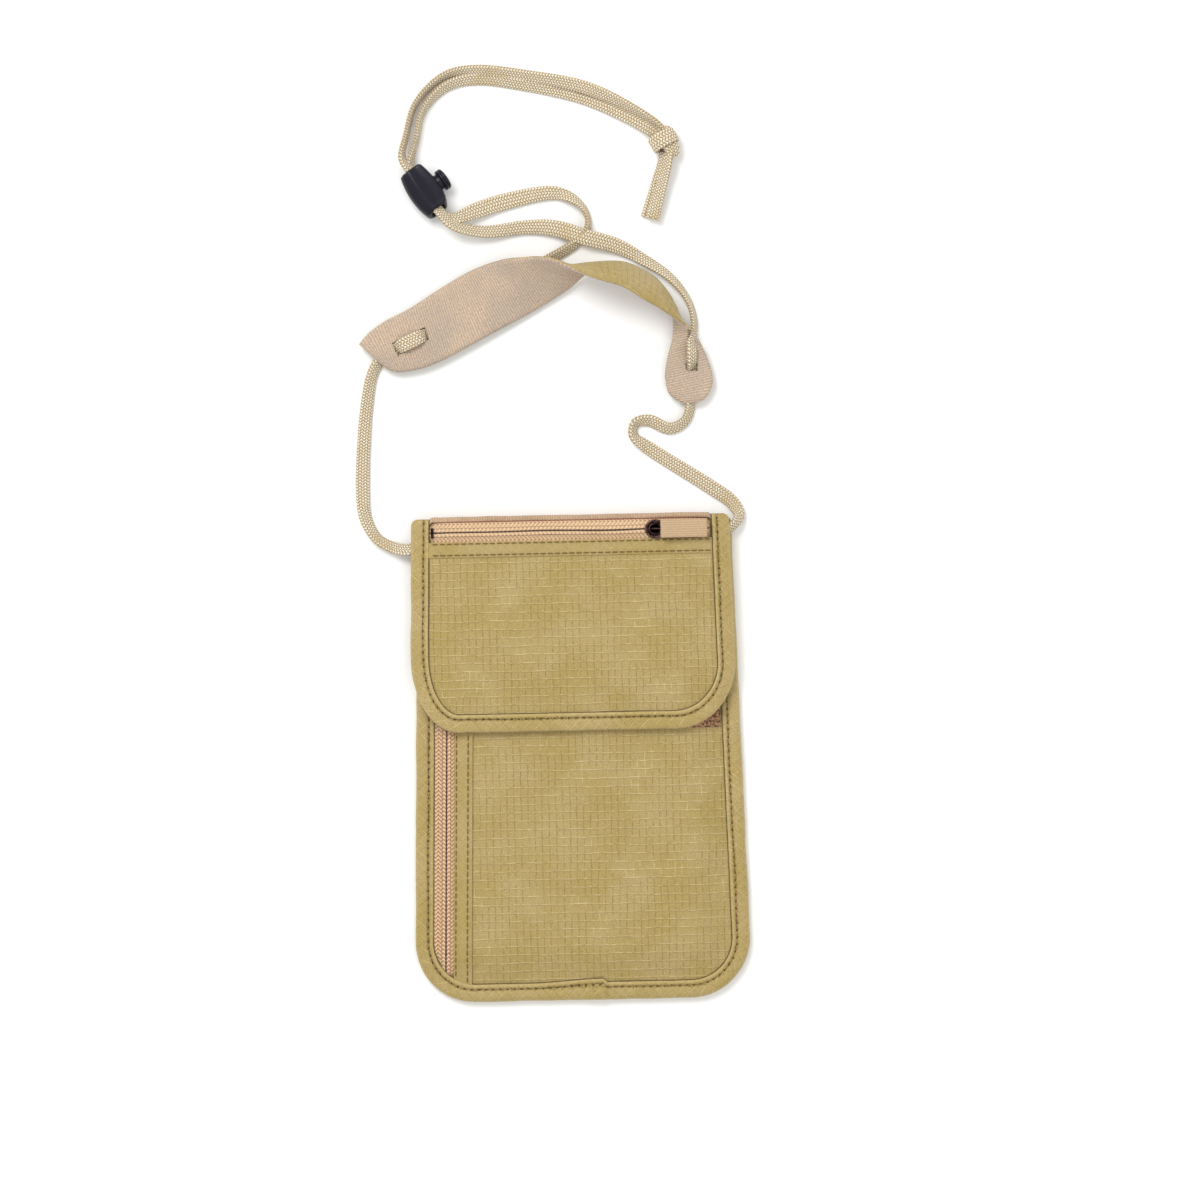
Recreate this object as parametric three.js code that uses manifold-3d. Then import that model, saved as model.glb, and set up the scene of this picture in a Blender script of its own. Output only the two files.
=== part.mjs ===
// A flat neck pouch for travel papers, lying on its back with its neck cord laid out above it.
// Millimetres. +X is to the right, +Y towards the fold and the cord, +Z up out of the front.
// The origin is under the middle of the pouch, on the surface that it lies on.

import * as THREE from "three";
import { mergeVertices } from "three/addons/utils/BufferGeometryUtils.js";
import Module from "manifold-3d";

const wasm = await Module();
wasm.setup();

// ---- driving dimensions ----

const GAP = 0.3;                      // between pieces that touch

const pouchLength = 203.2;
const foldY = pouchLength / 2;        // outer face of the fold
const bottomY = -pouchLength / 2;
const sewnTopY = foldY - 2.1;         // where the side seams end, just under the fold
const mouthY = 84;                    // top hem of the front panel
const bottomHalfWidth = 70.5;
const topHalfWidth = 65.5;
const taper = (bottomHalfWidth - topHalfWidth) / pouchLength;
const bodyCorner = 25;
const tapeReach = 7.2;                // width of the edge binding seen from the front
const seamInset = 1.2;                // how far the layers' edges lie inside the outline

// heights in the side seams, from the underside up
const bindingLow = 0.1;
const bindingHigh = 4;
const bindingSkin = 0.45;
const backSeam = [0.9, 1.4];
const shieldSeam = [1.7, 1.95];
const dividerSeam = [2.25, 2.5];
const frontSeam = [2.8, 3.2];
const trimSeam = [3.5, 3.9];          // what is sewn on top of the front panel
const loopSeam = [3.5, 4.3];
const coilHeight = 0.6;

// the front rises from the seams to a plateau over the papers
const pouchRise = 4.2;
const riseFrom = 8;
const riseTo = 20;

// vertical zip of the front pocket, as distances in from the left edge
const zipLine = 12.6;
const zipSlit = 0.3;
const zipTapeEnd = 20;
const facingFrom = 15.8;
const facingTo = 24.2;
const coilHalf = 1.5;
const frontZipTop = 82;
const frontZipBottom = -82;
const frontSliderY = 74;

// flap
const flapShift = -1.6;
const flapOverlap = 0.7;              // how much wider the flap is than the pouch, each side
const flapBottomY = 11.6;
const flapCornerX = 20;
const flapCornerY = 31;
const flapRise = 1;
const flapEdgeZ = 8.6;                // underside of the flap binding at the sides
const flapBindingHeight = 2.45;
const flapLining = [0.65, 0.95];      // heights above the underside of the flap binding
const flapPanel = [1.25, 1.75];
const flapTrim = [2.05, 2.4];
const hookHeight = 0.8;

// horizontal zip of the flap pocket
const flapZipY = 95;
const flapTapeTop = 99.4;
const flapTapeBottom = 85;
const flapFacing = [84.4, 91];
const flapSliderX = 33.9;

const pullLength = 21.8;
const pullWidth = 7.6;

// neck cord: a flat braid
const cordWidth = 4.8;
const cordThick = 1.8;

// ---- materials ----

const paint = {
  ripstop: [0xb39f63, 0.75, 0],
  bias: [0xa39258, 0.8, 0],
  knit: [0xcdb394, 0.95, 0],
  lining: [0x9c8f6a, 0.85, 0],
  foil: [0x9a9a98, 0.45, 0.4],
  zipTape: [0xc6a06c, 0.85, 0],
  coil: [0x8a7444, 0.6, 0],
  loop: [0x7d5f3f, 0.98, 0],
  webbing: [0xcbad86, 0.85, 0],
  cord: [0xd8c28e, 0.85, 0],
  metal: [0x3a2a26, 0.4, 0.8],
  plastic: [0x1c1b26, 0.45, 0],
  steel: [0xb8bcc0, 0.3, 0.9],
};

function material([color, roughness, metalness]) {
  return new THREE.MeshStandardMaterial({ color, roughness, metalness });
}

// ---- solids ----

function solidOf(geometry) {
  geometry.deleteAttribute("normal");
  geometry.deleteAttribute("uv");
  const merged = mergeVertices(geometry, 1e-4);
  return new wasm.Manifold(new wasm.Mesh({
    numProp: 3,
    vertProperties: Float32Array.from(merged.attributes.position.array),
    triVerts: Uint32Array.from(merged.index.array),
  }));
}

function geometryOf(solid) {
  const mesh = solid.getMesh();
  const geometry = new THREE.BufferGeometry();
  geometry.setAttribute("position", new THREE.BufferAttribute(mesh.vertProperties, 3));
  geometry.setIndex(new THREE.BufferAttribute(mesh.triVerts, 1));
  geometry.computeVertexNormals();
  return geometry;
}

function extruded(points, depth) {
  return new THREE.ExtrudeGeometry(new THREE.Shape(points), { depth, bevelEnabled: false });
}

// a plan outline between two heights
function prism(points, [low, high]) {
  return solidOf(extruded(points, high - low).translate(0, 0, low));
}

// an outline of [x, z] carried along Y
function alongY(points, [from, to]) {
  return solidOf(extruded(points, to - from).rotateX(Math.PI / 2).translate(0, to, 0));
}

// an outline of [y, z] carried along X, then turned about Z by `turn`
function alongX(points, [from, to], turn = 0) {
  const geometry = extruded(points, to - from).rotateX(Math.PI / 2).rotateZ(Math.PI / 2);
  return solidOf(geometry.translate(from, 0, 0).rotateZ(turn));
}

function vectors(pairs) {
  return pairs.map(([x, y]) => new THREE.Vector2(x, y));
}

function rectangle([x0, x1], [y0, y1]) {
  return vectors([[x0, y0], [x1, y0], [x1, y1], [x0, y1]]);
}

function ellipse(radiusX, radiusY, sides = 20) {
  const angle = (k) => (2 * Math.PI * (k + 0.5)) / sides;
  return Array.from({ length: sides }, (_, k) =>
    new THREE.Vector2(radiusX * Math.cos(angle(k)), radiusY * Math.sin(angle(k))));
}

// ---- the pouch's plan: a tapered panel with two round lower corners ----

function taperedPlan(plan, inset, topY) {
  const half = (y) => edgeX(1, inset - plan.overlap, y);
  const low = plan.bottomY + inset;
  const rx = Math.max(plan.cornerX - inset, 0.5);
  const ry = Math.max(plan.cornerY - inset, 0.5);
  const points = [[half(topY), topY], [-half(topY), topY]];
  for (const side of [-1, 1]) {
    const centreX = side * (half(low + ry) - rx);
    for (let k = 0; k <= 8; k++) {
      const turn = (Math.PI / 2) * (side < 0 ? k / 8 : 1 - k / 8);
      points.push([centreX + side * rx * Math.cos(turn), low + ry - ry * Math.sin(turn)]);
    }
  }
  return vectors(points.map(([x, y]) => [x + plan.shift, y]));
}

const body = { overlap: 0, bottomY, cornerX: bodyCorner, cornerY: bodyCorner, shift: 0 };
const flap = {
  overlap: flapOverlap, bottomY: flapBottomY, cornerX: flapCornerX, cornerY: flapCornerY,
  shift: flapShift,
};
const bodyPlan = (inset, topY = sewnTopY) => taperedPlan(body, inset, topY);
const flapPlan = (inset, topY = sewnTopY) => taperedPlan(flap, inset, topY);

// x of a line that runs parallel to the pouch's left or right edge, `inset` from it
function edgeX(side, inset, y) {
  return side * (topHalfWidth + (foldY - y) * taper - inset);
}

// a strip between two distances from the left edge
function leftStrip([from, to], [low, high]) {
  return vectors([
    [edgeX(-1, from, low), low], [edgeX(-1, to, low), low],
    [edgeX(-1, to, high), high], [edgeX(-1, from, high), high],
  ]);
}

// ---- the raised front: everything under the front's surface, lifted by `height` ----

const FAR = 160;
const DEEP = -20;

function risenProfile(half, rise, height) {
  return vectors([
    [-FAR, DEEP], [FAR, DEEP], [FAR, height], [half - riseFrom, height],
    [half - riseTo, height + rise], [riseTo - half, height + rise],
    [riseFrom - half, height], [-FAR, height],
  ]);
}

// a profile carried along Y, whose two sides keep parallel to the pouch's tapered edges
function taperedAlongY(points, shift = 0) {
  const geometry = extruded(points, 2 * FAR).rotateX(Math.PI / 2).translate(0, FAR, 0);
  const place = geometry.attributes.position;
  for (let k = 0; k < place.count; k++) {
    place.setX(k, place.getX(k) - Math.sign(place.getX(k)) * taper * place.getY(k));
  }
  return solidOf(geometry.translate(shift, 0, 0));
}

// everything under a slope that starts to rise at `from` and faces the direction `turn` from -Y
function underSlope(from, height, turn) {
  const low = from + riseFrom;
  const high = from + riseTo;
  return alongX(vectors([
    [-FAR, DEEP], [FAR, DEEP], [FAR, height + pouchRise], [high, height + pouchRise],
    [low, height], [-FAR, height],
  ]), [-FAR, FAR], turn);
}

function underFront(height) {
  const corner = new THREE.Vector2(edgeX(1, bodyCorner, bottomY + bodyCorner), bottomY + bodyCorner);
  const diagonal = (corner.y - corner.x) / Math.SQRT2 - bodyCorner;
  return taperedAlongY(risenProfile(edgeX(1, 0, 0), pouchRise, height))
    .intersect(underSlope(bottomY, height, 0))
    .intersect(underSlope(diagonal, height, Math.PI / 4))
    .intersect(underSlope(diagonal, height, -Math.PI / 4));
}

function underFlap(height) {
  const profile = risenProfile(edgeX(1, -flapOverlap, 0), flapRise, flapEdgeZ + height);
  return taperedAlongY(profile, flapShift);
}

function layerOf(under, plan, [low, high]) {
  return prism(plan, [DEEP, FAR]).intersect(under(high).subtract(under(low)));
}

const frontLayer = (plan, heights) => layerOf(underFront, plan, heights);
const flapLayer = (plan, heights) => layerOf(underFlap, plan, heights);

// height of the front at a distance in from the left edge
function frontRiseAt(inset) {
  const share = THREE.MathUtils.clamp((inset - riseFrom) / (riseTo - riseFrom), 0, 1);
  return pouchRise * share;
}

// ---- the object ----

const group = new THREE.Group();
group.name = "neck_pouch_wallet";

function add(name, shape, finish, parent = group) {
  const geometry = shape.isBufferGeometry ? shape : geometryOf(shape);
  const mesh = new THREE.Mesh(geometry, material(paint[finish]));
  mesh.name = name;
  parent.add(mesh);
  return mesh;
}

// body layers, from the back forwards
function addBody() {
  const padded = prism(bodyPlan(tapeReach + GAP), [0, backSeam[1]]);
  add("back_panel", prism(bodyPlan(seamInset), backSeam).add(padded), "knit");
  add("rfid_shield", prism(bodyPlan(seamInset, mouthY + 8), shieldSeam), "foil");
  add("divider_lining", frontLayer(bodyPlan(seamInset, mouthY), dividerSeam), "lining");

  const right = prism(rectangle([-FAR, FAR], [-FAR, mouthY]), [DEEP, FAR])
    .subtract(prism(leftStrip([-FAR, zipTapeEnd + GAP], [-FAR, FAR]), [DEEP, FAR]));
  add("front_panel", frontLayer(bodyPlan(seamInset, mouthY), frontSeam).intersect(right), "ripstop");

  const hemFrom = edgeX(-1, facingTo + GAP, mouthY);
  const hemTo = edgeX(1, tapeReach + GAP, mouthY);
  add("mouth_hem", frontLayer(rectangle([hemFrom, hemTo], [mouthY - 8, mouthY]), trimSeam), "bias");
  const loopTo = edgeX(1, tapeReach + GAP, 31.5);
  add("loop_strip", frontLayer(rectangle([loopTo - 98, loopTo], [11.5, 31.5]), loopSeam), "loop");
}

// one U-shaped tape folded over the raw edges, open towards the middle of the pouch
function edgeTape(layer, plan, low, high, skin) {
  const whole = layer(plan(0), [low, high]);
  const window = layer(plan(tapeReach), [low - 1, high + 1]);
  const groove = layer(plan(seamInset - GAP), [low + skin, high - skin]);
  return whole.subtract(window).subtract(groove);
}

function addBindings() {
  const flat = (plan, heights) => prism(plan, heights);
  const bodyTape = (inset) => bodyPlan(inset, inset > 0 ? foldY : sewnTopY);
  const flapTape = (inset) => flapPlan(inset, inset > 0 ? foldY : sewnTopY);
  add("body_binding", edgeTape(flat, bodyTape, bindingLow, bindingHigh, bindingSkin), "bias");
  add("flap_binding", edgeTape(flapLayer, flapTape, 0, flapBindingHeight, 0.35), "bias");
}

// ---- zips ----

// a zip slider: an oval plate that straddles the coil, with a bail for the pull.
// Local X runs along the zip, Y across it, and z = 0 is GAP above the tape.
const plateLow = coilHeight + 0.25;
const plateHigh = plateLow + 0.8;
const pullAxisZ = plateHigh + 0.75;
const bailHalf = 3;

function sliderSolid() {
  const plate = prism(ellipse(4.2, 3.7), [plateLow, plateHigh]);
  const skirt = prism(ellipse(4.2, 2.8), [0, plateLow + 0.2]);
  const channel = prism(rectangle([-9, 9], [-coilHalf - GAP, coilHalf + GAP]), [-1, plateLow]);
  const outer = vectors([
    [-bailHalf, plateHigh - 0.2], [bailHalf, plateHigh - 0.2], [bailHalf, pullAxisZ + 0.7],
    [bailHalf - 0.8, pullAxisZ + 1.3], [0.8 - bailHalf, pullAxisZ + 1.3],
    [-bailHalf, pullAxisZ + 0.7],
  ]);
  const eye = rectangle([1 - bailHalf, bailHalf - 1], [plateHigh, pullAxisZ + 0.8]);
  const bail = alongY(outer, [-0.8, 0.8]).subtract(alongY(eye, [-2, 2]));
  return skirt.subtract(channel).add(plate).add(bail);
}

// a ribbon pull whose end bar passes through the bail; it lies along +X
function pullSolid() {
  const plate = rectangle([-0.5, pullLength - 0.5], [-pullWidth / 2, pullWidth / 2]);
  const window = prism(rectangle([0.5, 4.4], [-1.2, 1.2]), [0, FAR]);
  return prism(plate, [pullAxisZ - 0.4, pullAxisZ + 0.4]).subtract(window);
}

function addFlapZip() {
  const reach = edgeX(1, tapeReach + GAP - flapOverlap, foldY);
  const x = [flapShift - reach, flapShift + reach];
  const split = zipSlit / 2;
  add("flap_zip_tape_upper",
    flapLayer(rectangle(x, [flapZipY + split, flapTapeTop]), flapPanel), "zipTape");
  add("flap_zip_tape_lower",
    flapLayer(rectangle(x, [flapTapeBottom + 4, flapZipY - split]), flapPanel), "zipTape");
  const coil = rectangle([x[0] + 2, x[1] - 2], [flapZipY - coilHalf, flapZipY + coilHalf]);
  add("flap_zip_coil", flapLayer(coil, [flapTrim[0], flapTrim[0] + coilHeight]), "coil");
  add("flap_zip_facing", flapLayer(rectangle(x, flapFacing), flapTrim), "ripstop");

  const stop = rectangle([x[0] + 0.3, x[0] + 1.7], [flapZipY - 2.2, flapZipY + 2.2]);
  add("flap_zip_end_stop", flapLayer(stop, [flapTrim[0], flapTrim[0] + 1]), "metal");

  const z = flapEdgeZ + flapRise + flapTrim[0];
  const place = new THREE.Group();
  place.position.set(flapSliderX, flapZipY, z);
  group.add(place);
  add("flap_zip_slider", sliderSolid(), "metal", place);
  add("flap_zip_pull", pullSolid(), "webbing", place);
}

function addFrontZip() {
  const within = (inset, strip, heights) => prism(bodyPlan(inset, mouthY), [DEEP, FAR])
    .intersect(frontLayer(strip, heights));
  const tape = (insets) => within(seamInset, leftStrip(insets, [-FAR, mouthY]), frontSeam);
  add("front_zip_tape_left", tape([seamInset, zipLine - zipSlit / 2]), "zipTape");
  add("front_zip_tape_right", tape([zipLine + zipSlit / 2, zipTapeEnd]), "zipTape");
  const coil = leftStrip([zipLine - coilHalf, zipLine + coilHalf], [frontZipBottom, frontZipTop]);
  add("front_zip_coil", frontLayer(coil, [trimSeam[0], trimSeam[0] + coilHeight]), "coil");
  const facing = leftStrip([facingFrom, facingTo], [-FAR, mouthY]);
  add("front_zip_facing", within(tapeReach + GAP, facing, trimSeam), "ripstop");
  const stop = leftStrip([zipLine - 2.2, zipLine + 2.2], [frontZipBottom - 1.7, frontZipBottom - GAP]);
  add("front_zip_end_stop", frontLayer(stop, [trimSeam[0], trimSeam[0] + 1]), "metal");

  // the slider rides on the sloping side of the pouch, and its pull lies towards -Y
  const place = new THREE.Group();
  place.position.set(edgeX(-1, zipLine, frontSliderY), frontSliderY,
    trimSeam[0] + frontRiseAt(zipLine) + 0.15);
  place.rotation.order = "YZX";
  place.rotation.y = -Math.atan(pouchRise / (riseTo - riseFrom));
  place.rotation.z = -Math.PI / 2 - Math.atan(taper);
  group.add(place);
  add("front_zip_slider", sliderSolid(), "metal", place);
  add("front_zip_pull", pullSolid(), "webbing", place);
}

// ---- flap ----

function addFlap() {
  const panelTop = flapTapeBottom + 4 - GAP;
  add("flap_lining", flapLayer(flapPlan(seamInset), flapLining), "lining");
  add("flap_panel", flapLayer(flapPlan(seamInset, panelTop), flapPanel), "ripstop");
  const hook = rectangle([-26, 26], [flapBottomY + tapeReach + GAP, 32]);
  add("hook_strip", flapLayer(hook, [flapLining[0] - GAP - hookHeight, flapLining[0] - GAP]), "loop");
}

// the back fabric carried over the top edge, from the back panel round to the flap's zip tape
function addFold() {
  const top = flapEdgeZ + flapRise + flapPanel[1];
  const out = foldY;
  const start = flapTapeTop + GAP;
  const thick = 0.7;
  const section = vectors([
    [start, 0.4], [out - 0.6, 0.4], [out, 1.6], [out, top - 2.2], [out - 0.5, top - 0.6],
    [start + 0.5, top], [start, top], [start, top - thick], [out - 1, top - 1.3],
    [out - thick, top - 2.4], [out - thick, 1.8], [out - 1, 1.1], [start, 1.1],
  ]);
  add("top_fold", alongX(section, [flapShift - 56, flapShift + 58]), "knit");
}

// ---- neck cord ----

// Routes of the two cords, from the pouch's upper corners up to the knot. [x, y, z] of the middle.
const leftRoute = [
  [-51, 93.6, 5.4], [-60, 90.8, 5.5], [-69, 88.6, 5.2], [-75.5, 89.4, 2.2], [-82.5, 93.3, 1.1],
  [-87.4, 102.2, 1.1], [-88.4, 114, 1.1], [-85.8, 150, 1.1], [-82.2, 164.8, 1.1],
  [-76.9, 170.6, 1.1], [-74, 172.3, 1.6], [-72, 173.2, 3.8], [-70, 174.2, 6.2],
  [-66.8, 175.7, 6.5], [-63.5, 177.2, 6.2], [-61.6, 178.1, 3.8], [-59.7, 179, 1.6],
  [-56.6, 180.4, 1.1], [-46.1, 185.4, 1.1], [-29.1, 196, 1.1], [-12.9, 206.6, 1.1],
  [4.6, 216.8, 1.1], [8.5, 223.2, 1.1], [7.3, 229.2, 1.1], [2.4, 234.2, 1.1], [-5.5, 237, 1.1],
  [-27.9, 233.3, 1.3], [-38.5, 230, 2.6], [-48.4, 227, 4.9], [-53.7, 230, 5.05],
  [-59.3, 238.2, 5.05], [-64.8, 246.3, 5.05], [-65.1, 252, 4.2], [-62.8, 260.5, 2.2],
  [-59.6, 272.6, 1.1], [-50, 282.4, 1.1], [-37.8, 285.4, 1.1], [-15.9, 282.3, 1.1],
  [10, 276.2, 1.1], [35.4, 263.6, 2.8],
];
const rightRoute = [
  [49, 93.6, 5.4], [57, 92.2, 5.5], [66.4, 95.6, 5.2], [69.2, 100.4, 2.8], [66.4, 105.8, 1.1],
  [57.6, 112.3, 1.1], [30.4, 130.2, 1.1], [25.6, 134.6, 1.1], [26.6, 139.6, 1.1],
  [32.2, 140.6, 1.1], [41, 137, 1.1], [48, 140.8, 1.1], [50.9, 158.6, 1.1], [50.9, 161.2, 1.8],
  [50.9, 163, 4.1], [50.9, 165, 6.6], [50.9, 169, 7.5], [50.8, 173, 5.6], [51.6, 176.4, 3],
  [52.1, 182, 1.1], [49.9, 190.3, 1.1], [42.8, 200.1, 1.1], [30.2, 208.9, 1.1], [20.6, 214, 2],
  [8, 217.7, 3.7], [-6, 222.1, 2.2], [-17.2, 222.8, 1.1], [-36, 221.2, 3.3],
  [-48.4, 224.2, 7.1], [-53.7, 230, 7.4], [-59.3, 238.2, 7.4], [-65.2, 246.8, 7.4],
  [-68.7, 252.4, 6.2], [-67.1, 261.6, 4], [-62.6, 275.6, 3.4], [-50.4, 286.8, 3.4],
  [-38, 288.8, 3.4], [-15.8, 286, 3.4], [10, 280.2, 3.4], [36.4, 266.2, 5.2],
];
const knotCentre = [41.6, 256.6, 4.2];
const tailRoutes = {
  cord_tail_left: [[40.2, 248.2, 2.2], [38.4, 242, 1.2], [36.8, 236, 1.1], [34.2, 225.6, 1.1]],
  cord_tail_right: [[42.2, 248.6, 4.8], [40.4, 242, 3.7], [38.4, 235, 3.4], [35.6, 225, 3.4]],
};

// a route whose section stays level, so that a flat cord lies on its face all the way
class LevelRoute extends THREE.CatmullRomCurve3 {
  computeFrenetFrames(steps) {
    const up = new THREE.Vector3(0, 0, 1);
    const shares = Array.from({ length: steps + 1 }, (_, k) => k / steps);
    const tangents = shares.map((share) => this.getTangentAt(share));
    const binormals = tangents.map((t) => new THREE.Vector3().crossVectors(t, up).normalize());
    const normals = tangents.map((t, k) => new THREE.Vector3().crossVectors(binormals[k], t));
    return { tangents, normals, binormals };
  }
}

function flatTube(route, steps) {
  const points = route.map((p) => new THREE.Vector3(...p));
  const path = new LevelRoute(points, false, "centripetal");
  const section = new THREE.Shape(ellipse(cordThick / 2, cordWidth / 2, 8));
  return new THREE.ExtrudeGeometry(section, { steps, extrudePath: path, bevelEnabled: false });
}

function addCords() {
  add("neck_cord_left", flatTube(leftRoute, 160), "cord");
  add("neck_cord_right", flatTube(rightRoute, 160), "cord");
  for (const [name, route] of Object.entries(tailRoutes)) {
    add(name, flatTube(route, 6), "cord");
  }
  const knot = new THREE.SphereGeometry(1, 14, 8).scale(5.2, 7, 4);
  add("cord_knot", solidOf(knot.rotateZ(-0.25).translate(...knotCentre)), "cord");

  // bar-tacked ends, sewn to the back just inside the fold
  const tab = ([x, y]) => prism(rectangle([x - 4, x + 4], [y - 3.5, y + 3.5]), [2.25, 4.2]);
  add("cord_anchor_left", tab([-53.5, 94.6]), "webbing");
  add("cord_anchor_right", tab([51.5, 94.6]), "webbing");
}

// ---- cord lock ----

const lockCentre = [-59.3, 238.2, 6.2];
const lockTurn = THREE.MathUtils.degToRad(-55.7);
const lockTilt = THREE.MathUtils.degToRad(10);
const lockLength = 22;
const lockSide = [-6.8, 6.2];         // across, with the plunger on the + side
const lockThick = 9.6;
const tunnelHalf = [3.3, 2.75];       // across and up
const stroke = 2;
const boreHalf = 3.45;
const boreEnd = -5.8;

// Local X runs through the tunnel, +Y is the way the plunger comes out, Z is up
function addCordLock() {
  const place = new THREE.Group();
  place.position.set(...lockCentre);
  place.rotation.order = "ZXY";
  place.rotation.z = lockTurn;
  place.rotation.x = -lockTilt;
  group.add(place);

  const [y0, y1] = lockSide;
  const end = lockLength / 2;
  const shell = prism(vectors([
    [-end, y0 + 3], [-end + 2.2, y0 + 1.2], [-end / 2, y0 + 0.2], [0, y0], [end / 2, y0 + 0.2],
    [end - 2.2, y0 + 1.2], [end, y0 + 3], [end, y1 - 2.4], [end - 2, y1 - 0.8],
    [0, y1], [2 - end, y1 - 0.8], [-end, y1 - 2.4],
  ]), [-lockThick / 2, lockThick / 2]);
  const crowned = alongY(vectors([
    [-end, -3.6], [2.5 - end, -lockThick / 2], [end - 2.5, -lockThick / 2], [end, -3.6],
    [end, 3.6], [end - 2.5, lockThick / 2], [2.5 - end, lockThick / 2], [-end, 3.6],
  ]), [-10, 10]);
  const tunnel = alongX(rectangle([-tunnelHalf[0], tunnelHalf[0]],
    [-tunnelHalf[1], tunnelHalf[1]]), [-20, 20]);
  const bore = alongY(ellipse(boreHalf, boreHalf, 16), [boreEnd, 20]);
  add("lock_body", shell.intersect(crowned).subtract(tunnel).subtract(bore), "plastic", place);

  const pinRadius = boreHalf - GAP;
  const pin = alongY(ellipse(pinRadius, pinRadius, 16), [-3.5, 7.4 + stroke]);
  const cap = alongY(ellipse(3.9, 3.9, 20), [6.2 + stroke + GAP, 6.2 + stroke + 2.6]);
  const passage = alongX(rectangle([-2.8, 2.8 + stroke], [-2.5, 2.5]), [-9, 9]);
  add("lock_plunger", pin.add(cap).subtract(passage), "plastic", place);

  const turns = 2;
  const coilPath = new THREE.CatmullRomCurve3(Array.from({ length: 8 * turns + 1 }, (_, k) => {
    const angle = (k * Math.PI) / 4;
    return new THREE.Vector3(2 * Math.cos(angle), boreEnd + 0.6 + (0.85 * k) / (8 * turns),
      2 * Math.sin(angle));
  }));
  const wire = new THREE.Shape(ellipse(0.18, 0.18, 8));
  const spring = new THREE.ExtrudeGeometry(wire,
    { steps: 32, extrudePath: coilPath, bevelEnabled: false });
  add("lock_spring", spring, "steel", place);
}

// ---- neck pad: a bonded strip, cloth outside and knit inside ----

// Stations along the pad: [edge nearer the pouch], [far edge], how far the middle bows outwards.
const padStations = [
  [[-80, 166.8, 3.6], [-88.7, 175, 3.6], 0],
  [[-75.6, 163.7, 3.6], [-84, 180, 3.6], 0],
  [[-70, 163, 3.6], [-77.2, 184.6, 3.6], 0],
  [[-59.1, 165.3, 3.6], [-67, 189.6, 3.6], 0],
  [[-46.4, 171.1, 3.4], [-54.3, 197.5, 3.8], 0],
  [[-29.4, 180, 3], [-41.5, 204.6, 4.6], 0],
  [[-18.8, 185.4, 2.2], [-30.9, 208.2, 7.5], 0.3],
  [[-10.3, 190.2, 1.9], [-22.5, 209.3, 12], 0.8],
  [[0.3, 196.8, 1.9], [-7.4, 208.5, 19], 2.2],
  [[8.4, 203.2, 1.9], [8.6, 200.4, 23.5], 4.8],
  [[21, 206.8, 1.9], [22.2, 195.8, 24], 3.4],
  [[31.2, 203.6, 1.9], [30, 191, 22.5], 2.6],
  [[38, 198, 1.9], [37, 187, 20], 2.4],
  [[43.2, 188.4, 2], [44, 182.4, 16], 1.4],
  [[43.2, 176.2, 3], [50.8, 178.2, 9.8], 0.6],
  [[40.9, 168, 3.6], [54.9, 171.9, 4.9], 0],
  [[39.4, 159.7, 3.6], [58.2, 163.4, 3.8], 0],
  [[40.4, 152.6, 3.6], [59.4, 156.6, 3.8], 0],
  [[42.8, 149.7, 3.6], [57.7, 151.3, 3.6], 0],
  [[45.8, 148, 3.6], [55.4, 148.8, 3.6], 0],
  [[48.6, 147.3, 3.6], [52.4, 147.4, 3.6], 0],
];
const padLining = [0.2, 1.2];
const padOuter = [-0.1, -0.7];
const padRows = 6;

function padPoint(s, t) {
  const at = s * (padStations.length - 1);
  const k = Math.min(Math.floor(at), padStations.length - 2);
  const share = at - k;
  const mix = (side) => new THREE.Vector3(...padStations[k][side])
    .lerp(new THREE.Vector3(...padStations[k + 1][side]), share);
  const low = mix(0);
  const high = mix(1);
  const bow = THREE.MathUtils.lerp(padStations[k][2], padStations[k + 1][2], share);
  const next = new THREE.Vector3(...padStations[k + 1][0]).sub(new THREE.Vector3(...padStations[k][0]));
  const outwards = new THREE.Vector3(-next.y, next.x, 0).normalize();
  return low.lerp(high, t).addScaledVector(outwards, 4 * bow * t * (1 - t));
}

function padNormal(s, t) {
  const step = 0.01;
  const along = padPoint(Math.min(s + step, 1), t).sub(padPoint(Math.max(s - step, 0), t));
  const across = padPoint(s, Math.min(t + step, 1)).sub(padPoint(s, Math.max(t - step, 0)));
  return along.cross(across).normalize();
}

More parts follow.
